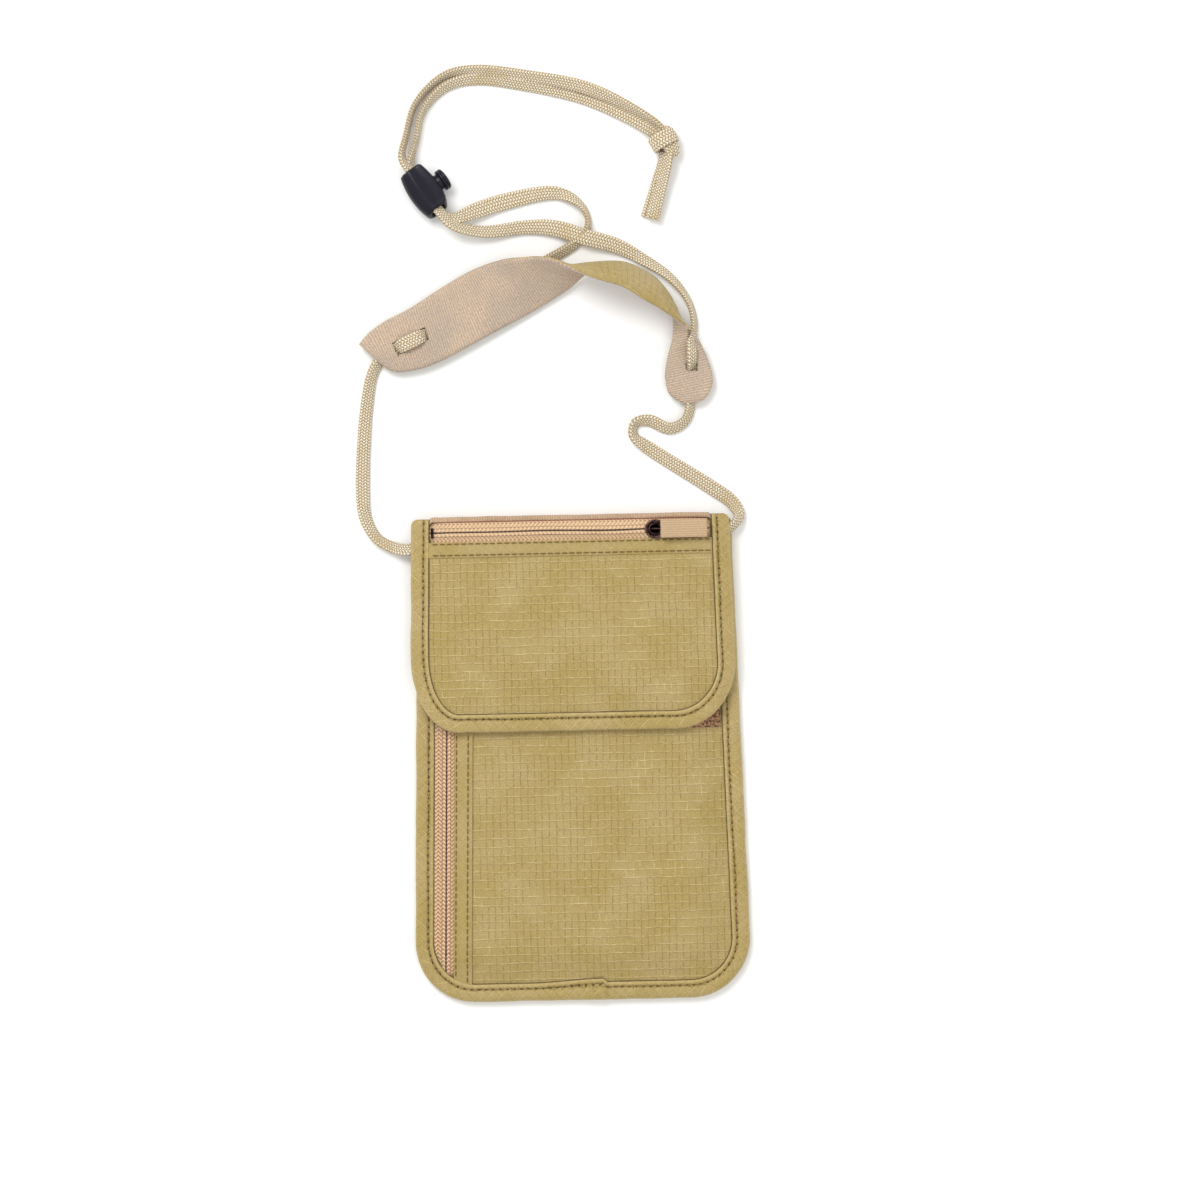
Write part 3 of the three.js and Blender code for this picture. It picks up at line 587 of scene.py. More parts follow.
def full_turn(count):
    """Angles all the way round."""
    return np.linspace(0, 2 * math.pi, count, endpoint=False)


def signed_power(values, power):
    """A power that keeps the sign. On a circle's sine and cosine, one below 1 makes it squarer."""
    return np.sign(values) * np.abs(values) ** power


def carried_on(points):
    """The points with one more at each end, in line with the last two."""
    return np.vstack([2 * points[0] - points[1], points, 2 * points[-1] - points[-2]])


def cubic(start, end, leaving, arriving, share):
    """The cubic between two points with the given slopes at its ends."""
    bend = 2 * start - 2 * end + leaving + arriving
    curve = 3 * end - 3 * start - 2 * leaving - arriving
    return bend * share ** 3 + curve * share ** 2 + leaving * share + start


def catmull(route, per):
    """The centripetal curve through a route's points, with `per` steps from each to the next."""
    p = carried_on(np.array(route, float))
    steps = np.linspace(0, 1, per, endpoint=False)[:, None]
    parts = []
    for a, b, c, d in zip(p, p[1:], p[2:], p[3:]):
        before, within, after = (math.sqrt(np.linalg.norm(q)) for q in (b - a, c - b, d - c))
        m = ((b - a) / before - (c - a) / (before + within) + (c - b) / within) * within
        n = ((c - b) / within - (d - b) / (within + after) + (d - c) / after) * within
        parts.append(cubic(b, c, m, n, steps))
    return np.vstack(parts + [p[-2:-1]])


def distances(line):
    """How far along the line each of its points lies."""
    return np.concatenate([[0], np.cumsum(np.linalg.norm(np.diff(line, axis=0), axis=1))])


def spaced(line, step):
    """The same line with points an equal step apart, and the distance along it."""
    gone = distances(line)
    count = max(int(round(gone[-1] / step)), 2)
    at = np.linspace(0, gone[-1], count + 1)
    return np.stack([np.interp(at, gone, line[:, k]) for k in range(3)], axis=1), at


def unit(v):
    """Vectors of length 1 in the same directions."""
    return v / np.linalg.norm(v, axis=-1, keepdims=True)


def directions(line):
    """The way the line runs at each of its points."""
    return unit(np.gradient(line, axis=0))


# ---- stitches ----

def stitches(name, line, body, up=(0, 0, 1), pitch=STITCH_PITCH):
    """A row of lockstitches along a line: short arched threads that dive into the cloth."""
    points, at = spaced(line, pitch / 8)
    tangents = directions(points)
    half = pitch * 0.43               # of a thread's length; the rest is the gap between two
    shares = np.linspace(-1, 1, 7)
    ring = full_turn(6)
    verts, faces = [], []
    for centre in np.arange(pitch, at[-1] - pitch / 2, pitch):
        middle = np.array([np.interp(centre, at, points[:, k]) for k in range(3)])
        forward = unit(np.array([np.interp(centre, at, tangents[:, k]) for k in range(3)]))
        side = unit(np.cross(forward, up))
        lift = np.cross(side, forward)
        start = len(verts)
        for share in shares:
            core = middle + forward * (half * share) + lift * (0.2 - 0.4 * share ** 4)
            radius = THREAD * math.sqrt(max(1.02 - share ** 2, 0.02) * 0.6 + 0.4)
            verts += [core + radius * (math.cos(a) * side + math.sin(a) * lift) for a in ring]
        faces += [tuple(start + k for k in q) for q in quads(len(shares), len(ring), wrap_columns=True)]
        faces.append(tuple(start + k for k in range(len(ring))))
        faces.append(tuple(start + len(ring) * len(shares) - 1 - k for k in range(len(ring))))
    return dress(mesh_object(name, verts, faces), THREAD_PAINT, body, "bias_binding")


# ---- the pouch's outline ----

def edge_half(y):
    """Half the pouch's width at a height up the pouch."""
    return TOP_HALF + (FOLD_Y - np.asarray(y, float)) * TAPER


def straight_half(plan, inset, y):
    """Half the width at y, `inset` from the rim, as if the corners were square."""
    return edge_half(y) + plan["overlap"] - inset


def outline(plan, inset, top):
    """The edge from the top left down, round the bottom and up the right side, `inset` from the rim."""
    low = plan["bottom"] + inset
    turn = np.linspace(0, math.pi / 2, 50)[1:]
    halves = []
    for rx, ry in plan["corners"]:
        rx, ry = max(rx - inset, 0.5), max(ry - inset, 0.5)
        y = np.linspace(top, low + ry, int((top - plan["bottom"]) / 0.75))
        centre = straight_half(plan, inset, low + ry) - rx
        corner = [centre + rx * np.cos(turn), low + ry - ry * np.sin(turn)]
        side = np.hstack([[straight_half(plan, inset, y), y], corner]).T
        across = np.linspace(side[-1, 0], 0, 64)[1:]
        halves.append(np.vstack([side, np.stack([across, np.full(len(across), low)], 1)]))
    left, right = halves
    return np.vstack([left * (-1, 1), right[::-1][1:]]) + (plan["shift"], 0)


def inset_of(plan, x, y):
    """How far a point lies in from the outline."""
    from_middle = x - plan["shift"]
    dx = straight_half(plan, np.abs(from_middle), y)
    dy = y - plan["bottom"]
    (left_x, left_y), (right_x, right_y) = plan["corners"]
    rx = np.where(from_middle < 0, left_x, right_x)
    ry = np.where(from_middle < 0, left_y, right_y)
    in_corner = (1 - np.hypot((rx - dx) / rx, (ry - dy) / ry)) * np.minimum(rx, ry)
    return np.where((dx < rx) & (dy < ry), in_corner, np.minimum(dx, dy * rx / ry + 1e-9))


def half_at(plan, inset, y, right=False):
    """Half the width of the outline at y, round corners and all, `inset` from the rim."""
    low = plan["bottom"] + inset
    rx, ry = (radius - inset for radius in plan["corners"][right])
    centre = straight_half(plan, inset, low + ry) - rx
    down = np.clip((low + ry - y) / ry, 0, 1)
    in_corner = centre + rx * np.sqrt(1 - down ** 2)
    return np.where(y < low + ry, in_corner, straight_half(plan, inset, y))


BODY_RIM_TOP = 3.2                    # height of the front cloth at the rim
BODY_RISE = 4.1                       # and how much higher its middle is


def body_top(x, y):
    """Height of the front cloth, which billows a little away from the seams."""
    inset = inset_of(BODY, x, y)
    soft = 0.8 * ripple(x, y * 0.7, 30, 3.1) + 0.3 * ripple(x * 1.3, y, 11, 8.1)
    return BODY_RIM_TOP + BODY_RISE * smooth(5, 23, inset) + smooth(7, 16, inset) * soft


def flap_droop(x, y):
    """The sides of the flap hang a little towards the pouch."""
    return -3.0 * (1 - smooth(0, 11, straight_half(FLAP, np.abs(x - FLAP["shift"]), y)))


def flap_top(x, y):
    """Height of the flap's cloth."""
    inset = inset_of(FLAP, x, y)
    calm = smooth(7, 15, inset) * smooth(99, 84, y)
    soft = 0.7 * ripple(x + 0.5 * y, y, 24, 8.4) + 0.28 * ripple(x, y + 0.6 * x, 10, 13.4)
    rise = 1.55 + smooth(7, 20, inset)
    return FLAP_BASE + rise + calm * soft + flap_droop(x, y) * smooth(12, 4, inset)


def cloth_piece(plan, height, low, high, side_inset, step, left=None):
    """Points of a panel from `low` to `high` up the pouch, cut to the outline `side_inset` in."""
    rows = np.linspace(low, high, max(int((high - low) / step), 2) + 1)
    columns = np.linspace(0, 1, int(2 * TOP_HALF / step))
    grid = []
    for y in rows:
        x0 = left(y) if left else plan["shift"] - half_at(plan, side_inset, y)
        x1 = plan["shift"] + half_at(plan, side_inset, y, right=True)
        x = x0 + (x1 - x0) * columns
        level = np.full_like(x, y)
        grid.append(np.stack([x, level, height(x, level)], 1))
    return np.array(grid)[:, ::-1]


# ---- the pouch ----

def rim_section(low, high):
    """Section of the tape folded over the edge, as (distance in, height)."""
    middle, half = (low + high) / 2, (high - low) / 2
    turn = np.linspace(-math.pi / 2, math.pi / 2, 11)
    under = [(TAPE_REACH, low + 0.3), (TAPE_REACH - 0.2, low), (STITCH_INSET, low + 0.3), (3.6, low)]
    edge = [(half * (1 - math.cos(a)), middle + half * math.sin(a)) for a in turn]
    over = [
        (2.9, high + 0.1), (3.7, high + 0.06), (4.3, high - 0.08), (4.7, high - 0.32),
        (STITCH_INSET, high - 0.45), (5.3, high - 0.26), (5.7, high + 0.08), (6.1, high + 0.18),
        (6.5, high + 0.08), (6.8, high - 0.12), (6.95, high - 0.45), (7.1, high - 0.5),
        (7.5, high - 0.5),
    ]
    return under + edge + over


def rounded_end(along, reach):
    """From 1 at both ends of a line to 0, in a quarter circle of this reach."""
    gone = np.clip(np.minimum(along, along[-1] - along) / reach, 0, 1)
    return 1 - np.sqrt(1 - (1 - gone) ** 2)


def binding(name, plan, top, low, high, body, node, seed, lap=None, sag=None):
    """The bias tape round the pouch or the flap, with its puckers and its two rows of stitches."""
    section = rim_section(low, high)
    seam = outline(plan, STITCH_INSET, top)
    along = distances(seam)
    dimple = 0.5 - 0.5 * np.cos(2 * math.pi * along / STITCH_PITCH)
    wander = 0.3 * ripple(along, 0, 17, seed) + 0.12 * ripple(along, 5, 6, seed)
    drift = 0.32 * ripple(along, 9, 21, seed)
    end = rounded_end(along, 2.6)
    middle = (low + high) / 2

    def sewn(inset):
        """The plan line of one row of the tape."""
        line = outline(plan, inset, top)
        normal = outline(plan, inset + 1, top) - line
        shift = drift * math.exp(-((inset - STITCH_INSET) / 2) ** 2)
        shift = shift - wander * (1 - inset / TAPE_REACH) + 2.2 * end * float(smooth(3.2, 0, inset))
        if lap:
            shift = shift + lap_spread(line[:, 0], line[:, 1], lap) * float(smooth(2, 6, inset))
        return (line + normal * shift[:, None]).T

    rows, flat = [], []
    for k, (inset, height) in enumerate(section):
        x, y = sewn(inset)
        up = 1 if height > middle else -1
        seam_share = math.exp(-((inset - STITCH_INSET) / 0.8) ** 2)
        puff = 0.16 * ripple(x + y, x - y, 4.5, seed + k * 0.02) + 0.2 * ripple(x, y, 13, seed)
        z = height + up * (puff * smooth(0.3, 2, inset) - 0.22 * dimple * seam_share)
        if lap and up > 0:
            z = z + lap_ridge(x, y, lap)
        z = middle + (z - middle) * (1 - 0.9 * end)
        if sag is not None:
            z = z + sag(x, y)
        rows.append(np.stack([x, y, z], 1))
        flat.append(np.stack([along, np.full_like(along, inset)], 1))
    panel(name, np.array(rows), 0.3, BINDING_PAINT, body, "bias_binding", node, flat)
    x, y = sewn(STITCH_INSET)
    droop = sag(x, y) if sag is not None else 0 * x
    for side, height, up in (("front", high - 0.45, 1), ("back", low + 0.3, -1)):
        stitches(f"{name}_stitches_{side}", np.stack([x, y, height + droop], 1), body, (0, 0, up))


LAP_BELOW = -80                       # the lap is on the tape's bottom stretch only


def lap_ridge(x, y, at):
    """Where the tape's end laps over its start, at the bottom of the pouch."""
    slant = x - 0.16 * (y - BOTTOM_Y)
    return 0.75 * smooth(at + 0.3, at - 0.15, slant) * smooth(at - 13, at - 2, x) * (y < LAP_BELOW)


def lap_spread(x, y, at):
    """How far the tape's inner edge creeps inwards beside the lap."""
    return 1.5 * smooth(at - 30, at - 1, x) * smooth(at + 0.6, at, x) * (y < LAP_BELOW)


def front_left(y):
    """The left edge of the front cloth: beside the zip, and cut off by the round corner below."""
    return np.maximum(PANEL_LEFT - edge_half(y), -half_at(BODY, UNDER_RIM, y))


def back_height(x, y):
    return 0.12 + 0.12 * (1 + ripple(x, y, 24, 6.2)) * smooth(7, 14, inset_of(BODY, x, y))


def make_body_cloths():
    """The front, and behind it the divider, the shielding film and the knit back."""
    grid = cloth_piece(BODY, body_top, BOTTOM_Y + UNDER_RIM, MOUTH_Y, UNDER_RIM, 1.3, front_left)
    front = panel("front_cloth", grid, 0.4, RIPSTOP_PAINT, "pouch", "ripstop_cloth", "front_panel")

    low, inset = BOTTOM_Y + INNER_INSET, INNER_INSET
    grid = cloth_piece(BODY, lambda x, y: body_top(x, y) - 0.9, low, MOUTH_Y - 1, inset, 2.6)
    panel("divider_cloth", grid, 0.25, LINING_PAINT, "pouch", "lining_cloth", "divider_lining")
    grid = cloth_piece(BODY, lambda x, y: 1.8 + 0.1 * ripple(x, y, 9, 1.7), low, MOUTH_Y + 8, inset, 2.6)
    panel("shield_sheet", grid, 0.2, FOIL_PAINT, "pouch", "shield_film", "rfid_shield")
    grid = cloth_piece(BODY, back_height, low, SEWN_TOP_Y + 0.2, inset, 2)
    rear = panel("back_cloth", grid, -0.6, KNIT_PAINT, "pouch", "knit_back", "back_panel")


def make_mouth_hem():
    """The doubled top edge of the front cloth."""
    low, high = 76, 83
    fold = [
        (low, 0.3), (low + 0.1, 0.6), (low + 1, 0.72), (high, 0.75), (high + 0.8, 0.6),
        (high + 1.2, 0.1), (high + 1.1, -0.5), (high, -0.65),
    ]
    rows = []
    for y, lift in fold:
        x = np.linspace(PANEL_LEFT + 1.5 - edge_half(y), edge_half(y) - UNDER_RIM, 80)
        cloth = body_top(x, np.full_like(x, min(y, high)))
        rows.append(np.stack([x, np.full_like(x, y), cloth + lift], 1))
    grid = np.array(rows)[:, ::-1]
    panel("mouth_edge", grid, 0.3, FACING_PAINT, "pouch", "bias_binding", "mouth_hem")
    x = np.linspace(-40, 57, 120)
    y = np.full_like(x, low + 1.2)
    stitches("mouth_stitches", np.column_stack([x, y, body_top(x, y) + 0.75]), "pouch")


def make_pile(name, xs, ys, height, thick, body, node):
    """A strip of hook or loop tape with its fuzz."""
    columns = int((xs[1] - xs[0]) / 0.6)
    y, x = np.meshgrid(np.linspace(*ys, 26), np.linspace(*xs, columns), indexing="ij")
    rim = np.minimum(np.minimum(x - xs[0], xs[1] - x), np.minimum(y - ys[0], ys[1] - y))
    bulge = thick * (0.35 + 0.65 * smooth(0, 1.2, rim))
    fuzz = 0.12 * ripple(x, y, 0.9, 4.4) * smooth(1.4, 2.4, rim)
    grid = np.stack([x, y, height(x, y) + bulge + fuzz * math.copysign(1, thick)], -1)[:, ::-1]
    panel(name, grid, 0.4, LOOP_PAINT, body, "hook_and_loop", node)


def tape_lift(across):
    """How a zip tape bulges over the coil and tucks in at the slit."""
    away = np.abs(across)
    return ZIP_RIDGE * smooth(3.3, 1.2, away) - 0.7 * smooth(0.5, 0.15, away) ** 2


# places across one tape, from the slit outwards
TAPE_STEPS = np.array([0.12, 0.2, 0.32, 0.5, 0.8, 1.2, 1.6, 2.0, 2.4, 2.8, 3.3])
ZIP_END_DIP = 1.3                     # how far the tapes dip where the zip ends


def rim_low(inset):
    """The lowest y of a line that runs down `inset` from the left edge."""
    corner = BODY["corners"][0][0]
    radius = corner - UNDER_RIM
    reach = np.clip(corner - np.asarray(inset, float), 0, radius)
    return BOTTOM_Y + corner - np.sqrt(radius ** 2 - reach ** 2)


def zip_strip(insets, lift):
    """A strip down the left side. Returns points and (y, inset) for each."""
    share = np.linspace(0, 1, 190)[:, None]
    inset = np.asarray(insets, float)[None, :]
    y = MOUTH_Y + (rim_low(inset) - MOUTH_Y) * share
    inset = np.broadcast_to(inset, y.shape)
    x = inset - edge_half(y)
    z = body_top(x, y) + lift(inset, y)
    return np.stack([x, y, z], -1), np.stack([y, inset], -1)


def make_front_zip():
    """The front zip's two tapes and the stitched strip beside them."""
    def lift(inset, y):
        return tape_lift(inset - ZIP_LINE) - ZIP_END_DIP * smooth(4, 0.5, y - rim_low(inset))

    left = np.concatenate([np.linspace(UNDER_RIM, ZIP_LINE - 3.4, 4), ZIP_LINE - TAPE_STEPS[::-1]])
    right = np.concatenate([ZIP_LINE + TAPE_STEPS, [16.2, 17]])
    for side, insets in (("left", left), ("right", right)):
        grid, flat = zip_strip(insets, lift)
        panel(f"front_tape_{side}", grid, 0.3, FRONT_TAPE_PAINT, "pouch", "zip_tape",
              f"front_zip_tape_{side}", flat - (0, ZIP_LINE))

    low, high = FACING
    insets = [low + 0.35, low, low + 0.1, low + 0.5, low + 1, *np.linspace(low + 1.6, high - 1, 9)]
    insets += [high - 0.5, high - 0.1, high, high - 0.35]
    lifts = [0.15, 0.3, 0.6, 0.72, 0.6, *([0.55] * 9), 0.78, 0.7, 0.35, 0.05]
    grid, _ = zip_strip(insets, lambda inset, y: np.broadcast_to(lifts, y.shape))
    panel("front_zip_edge", grid, 0.25, FACING_PAINT, "pouch", "ripstop_cloth", "front_zip_facing")
    for k, inset in enumerate((low + 0.9, high - 2)):
        line, _ = zip_strip([inset], lambda inset, y: 0.6)
        stitches(f"front_zip_stitches_{k}", line[:, 0], "pouch")


# ---- the flap ----

def flap_strip(ys, lifts, right_gap=0.0):
    """A strip across the flap between its two side bindings, `lifts` above its cloth."""
    rows = []
    for y, lift in zip(ys, lifts):
        half = straight_half(FLAP, UNDER_RIM, y)
        x = np.linspace(FLAP["shift"] + half - right_gap, FLAP["shift"] - half, 150)
        level = np.full_like(x, y)
        rows.append(np.stack([x, level, flap_top(x, level) + lift], 1))
    return np.array(rows)


def make_flap_cloths():
    """The flap's outer cloth and its lining."""
    low = FLAP["bottom"] + UNDER_RIM
    grid = cloth_piece(FLAP, flap_top, low, FLAP_FACING[0] + 2, UNDER_RIM, 1.2)
    cloth = panel("flap_cloth", grid, 0.4, RIPSTOP_PAINT, "flap", "ripstop_cloth", "flap_panel")
    grid = cloth_piece(FLAP, lambda x, y: flap_top(x, y) - 0.75, low, FOLD_START, UNDER_RIM, 2.2)
    lining = panel("flap_inner_cloth", grid, 0.25, LINING_PAINT, "flap", "lining_cloth", "flap_lining")


def make_flap_zip():
    """The flap zip's two tapes and the stitched strip below them."""
    steps = np.append(TAPE_STEPS, [3.9, 4.7])
    for side, away in (("upper", steps), ("lower", -steps[::-1])):
        grid = flap_strip(FLAP_ZIP_Y + away, tape_lift(away), right_gap=1.6)
        to_end = np.minimum(grid[..., 0] - grid[:, -1:, 0], grid[:, :1, 0] - grid[..., 0])
        grid[..., 2] -= ZIP_END_DIP * smooth(4, 0.5, to_end)
        flat = np.stack([grid[..., 0], grid[..., 1] - FLAP_ZIP_Y], -1)
        grid[..., 1] += 0.42 * ripple(grid[..., 0], 0, 27, 9.1) * (1 - np.abs(flat[..., 1]) / 4.8)
        panel(f"flap_tape_{side}", grid, 0.3, FLAP_TAPE_PAINT, "flap", "zip_tape",
              f"flap_zip_tape_{side}", flat)

    low, high = FLAP_FACING
    ys = [low + 0.35, low, low + 0.1, low + 0.5, *np.linspace(low + 1, high - 1, 8)]
    ys += [high - 0.5, high - 0.1, high, high - 0.3]
    lifts = [0.05, 0.12, 0.34, 0.5, *([0.55] * 8), 0.8, 0.75, 0.4, 0.1]
    grid = flap_strip(ys, lifts, right_gap=1)
    panel("flap_zip_edge", grid, 0.25, FACING_PAINT, "flap", "ripstop_cloth", "flap_zip_facing")
    for k, y in enumerate((high - 0.7, low + 1.2)):
        line = flap_strip([y], [0.62])[0]
        stitches(f"flap_zip_stitches_{k}", line, "flap")


def make_fold():
    """Knit cloth carried from the back, over the top edge, to the flap's zip."""
    top = FLAP_BASE + 2.9
    section = [
        (FOLD_START, 0.45), (100.4, 0.5), (101.1, 0.9), (101.5, 1.7), (101.6, 3), (101.65, 5), (101.65, 7),
        (101.6, top - 2.2), (101.45, top - 1.4), (101.1, top - 0.75), (100.6, top - 0.3),
        (100.1, top - 0.12), (99.7, top - 0.2), (99.45, top - 0.6), (99.4, top - 1.1),
    ]
    x = np.linspace(-60.4, 57.2, 170)
    drop = rounded_end(x - x[0], 1.4)
    rows = []
    for y, z in section:
        sway = 0.14 * ripple(x, z * 0.3, 8, 2.2) + 0.2 * ripple(x, 3, 24, 2.2)
        rows.append(np.stack([x, y + sway - 0.9 * drop, z - drop * 1.2 * (z / top) + sway * (z / top)], 1))
    grid = np.array(rows)
    flat = np.stack(np.broadcast_arrays(x[None], distances(section)[:, None]), -1)
    fold = panel("fold_cloth", grid, 0.5, SHADED_FOLD_PAINT, None, "knit_back", "top_fold", flat)
    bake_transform(fold)


# ---- zip sliders and ribbon pulls ----

FRONT_SLIDER = (74, 5.26)             # up the pouch, and its height there
ZIP_SLOPE = 4.2 / 12                  # how steeply the cloth rises from the rim at the front zip


def zip_place(slider):
    """Where a slider sits: +X along the zip, +Z out of it."""
    if slider.startswith("flap"):
        low, high = (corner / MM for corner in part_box(slider))
        return Matrix.Translation(((low.x + high.x) / 2, (low.y + high.y) / 2, low.z))
    y, z = FRONT_SLIDER
    turn = Matrix.Rotation(-math.pi / 2 - math.atan(TAPER), 4, "Z")
    tilt = Matrix.Rotation(-math.atan(ZIP_SLOPE), 4, "Y")
    return Matrix.Translation((ZIP_LINE - edge_half(y), y, z)) @ tilt @ turn


def placed(points, matrix):
    """The points, moved by a matrix."""
    return np.array([matrix @ Vector(p) for p in np.asarray(points, float).reshape(-1, 3)])


class Shell:
    """Several closed shapes gathered into one mesh."""

    def __init__(self):
        self.points = []
        self.faces = []

    def rings(self, rings, wrap=False):
        """Rings of points, joined one to the next. The end rings are capped unless they wrap round."""
        rings = np.asarray(rings, float)
        rows, columns = rings.shape[:2]
        start = len(self.points)
        self.points += rings.reshape(-1, 3).tolist()
        self.faces += [tuple(start + k for k in f) for f in quads(rows, columns, wrap, True)]
        if not wrap:
            self.faces.append(tuple(start + k for k in reversed(range(columns))))
            self.faces.append(tuple(start + (rows - 1) * columns + k for k in range(columns)))

    def tube(self, line, radius, sides=10):
        """A round wire along a line."""
        line = np.asarray(line, float)
        tangent = directions(line)
        side = unit(np.cross(tangent, (0.3, 1, 0.2)))
        lift = np.cross(side, tangent)
        turn = full_turn(sides)[None, :, None]
        self.rings(line[:, None] + radius * (np.cos(turn) * side[:, None] + np.sin(turn) * lift[:, None]))

    def build(self, name, place):
        return mesh_object(name, placed(self.points, place), self.faces)


def ellipse_rings(profile, radius_x, radius_y, sides=48, power=1.0, centre=(0, 0)):
    """Level rings for (share of the radius, height). A power below 1 makes them squarer."""
    x = signed_power(np.cos(full_turn(sides)), power) * radius_x
    y = signed_power(np.sin(full_turn(sides)), power) * radius_y
    return [np.stack([centre[0] + r * x, centre[1] + r * y, np.full(sides, z)], 1) for r, z in profile]


def make_slider(name, node, body):
    """A zip slider: grooved body, dished oval plate with a raised rim, and a low bail."""
    shell = Shell()
    plate = [
        (0.94, 0.85), (1.02, 1.0), (1.04, 1.35), (1.02, 1.75), (0.97, 1.95), (0.89, 1.95),
        (0.83, 1.75), (0.8, 1.35), (0.5, 1.25),
    ]
    shell.rings(ellipse_rings(plate, 4.2, 3.8))
    groove = 1.85                     # half its width
    for side in (-1, 1):
        rings = []
        for a in np.linspace(-1.15, 1.15, 15):
            x, y = 4.1 * math.sin(a), side * 2.75 * math.cos(a)
            inner = side * groove if abs(y) > groove else y - side * 0.2
            rings.append([(x, y, 0.05), (x, y, 1), (x, inner, 1), (x, inner, 0.05)][::side])
        shell.rings(rings)
    bail = [(0.9 + 2.6 * math.cos(a), 0, 1.3 + 1.75 * math.sin(a)) for a in np.linspace(0, math.pi, 15)]
    shell.tube(bail, 0.36)
    crown = [(2.5 * math.cos(a), 2.2 * math.sin(a), 1.32) for a in np.linspace(1.9, 4.4, 15)]
    shell.tube(crown, 0.26)
    slider = shell.build(name, zip_place(node))
    dress(slider, BRONZE_PAINT, body, "zip_metal", node)


def make_end_stop(name, node, body):
    """The metal staple that ends the coil, tucked under the tape."""
    low, high = (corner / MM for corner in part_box(node))
    half = (high - low) / 2
    profile = [(0.85, low.z), (1, low.z + 0.12), (1, low.z + 0.45), (0.85, low.z + 0.58)]
    shell = Shell()
    shell.rings(ellipse_rings(profile, half.x, half.y, 24, 0.4, (low + high) / 2))
    dress(shell.build(name, Matrix.Identity(4)), BRONZE_PAINT, body, "zip_metal", node)


RIBBON_END = 21.8                     # from the slider's middle
RIBBON_WIDTH = 7.6
BAR_HEIGHT = 2.4
RIBBON_PATH = [                       # under the bail's bar, round its end and back over it
    (RIBBON_END, -0.1), (13, -0.12), (8, -0.25), (5.4, -0.45), (4, -0.5), (3.2, -0.48), (2.6, -0.3),
    (2.32, 0.2), (2.42, 0.85), (2.9, 1.2), (4.1, 1.28), (5.6, 1.1), (8, 0.75), (11, 0.55), (15, 0.48),
    (RIBBON_END - 0.2, 0.42),
]


def make_ribbon(name, slider, body, node):
    """A ribbon folded in two round a slider's bar, its upper layer lying over the bail."""
    line, along = spaced(catmull([(x, 0, z + BAR_HEIGHT) for x, z in RIBBON_PATH], 14), 0.4)
    across = np.linspace(-1, 1, 20)
    points = []
    for x, _, z in line:
        sway = 0.2 * math.sin(x * 0.22 + 0.6) * float(smooth(5, 20, x))
        bow = 0.25 * float(smooth(7, 15, x))
        points += [(x, RIBBON_WIDTH / 2 * a, z + sway - bow * a * a) for a in across]
    points = np.array(points)

    def slit(face):
        """The under layer is slit to let the bail through."""
        x, y, z = points[list(face)].mean(axis=0)
        return abs(y) < 0.8 and x < 4.2 and z < BAR_HEIGHT + 0.7

    faces = [face for face in quads(len(line), len(across)) if not slit(face)]
    flat = np.array([(s, RIBBON_WIDTH / 2 * a) for s in along for a in across])
    ribbon = thicken(mesh_object(name, placed(points, zip_place(slider)), faces, flat), 0.4, 0)
    dress(ribbon, RIBBON_PAINT, body, "pull_ribbon", node)


def make_anchor(name, centre, node):
    """The stitched-down end of the neck cord, under the fold."""
    half_x, half_y = 4, 3.5
    x, y = np.meshgrid(np.linspace(-half_x, half_x, 20), np.linspace(-half_y, half_y, 18))
    rim = np.minimum(half_x - np.abs(x), half_y - np.abs(y))
    z = 2.6 + 1.5 * np.sqrt(np.clip(rim / 1.2, 0, 1)) + 0.1 * ripple(x, y, 2.5, centre[0])
    grid = np.stack([x + centre[0], y + centre[1], z], -1)
    panel(name, grid, 0.4, RIBBON_PAINT, "pouch", "pull_ribbon", node, np.stack([x, y], -1))
    for k, row in enumerate((-2.2, 2.2)):
        line = np.array([(centre[0] + x, centre[1] + row, 4.1) for x in np.linspace(-3.6, 3.6, 24)])
        stitches(f"{name}_tack_{k}", line, "pouch", pitch=1.5)


# ---- cord, knot and lock ----

def braid_section(count=22):
    """A flat braid's section, from -1 to 1 each way: soft columns on each face."""
    across = signed_power(np.cos(full_turn(count)), 0.8)
    height = signed_power(np.sin(full_turn(count)), 0.65)
    return across, height * (1 + 0.12 * np.cos(across * 3 * math.pi))


def sweep(name, line, ups, width, thick=CORD_THICK, closed=False):
    """Braid carried along a line. `ups` is the way its flat face looks. Its width may change on the way."""
    tangent = directions(line)
    if closed:
        tangent = unit(np.roll(line, -1, axis=0) - np.roll(line, 1, axis=0))
    side = unit(np.cross(tangent, ups))
    lift = np.cross(side, tangent)
    across, height = braid_section()
    half = np.broadcast_to(width, len(line))[:, None, None] / 2
    points = line[:, None] + across[None, :, None] * side[:, None] * half
    points = points + height[None, :, None] * lift[:, None] * (thick / 2)
    flat = np.stack(np.broadcast_arrays(distances(line)[:, None], across[None, :] * CORD_WIDTH / 2), -1)
    rows, columns = points.shape[:2]
    faces = quads(rows, columns, wrap_rows=closed, wrap_columns=True)
    if not closed:
        faces.append(tuple(range(columns)))
        faces.append(tuple(rows * columns - 1 - k for k in range(columns)))
    return mesh_object(name, points, [face[::-1] for face in faces], flat)


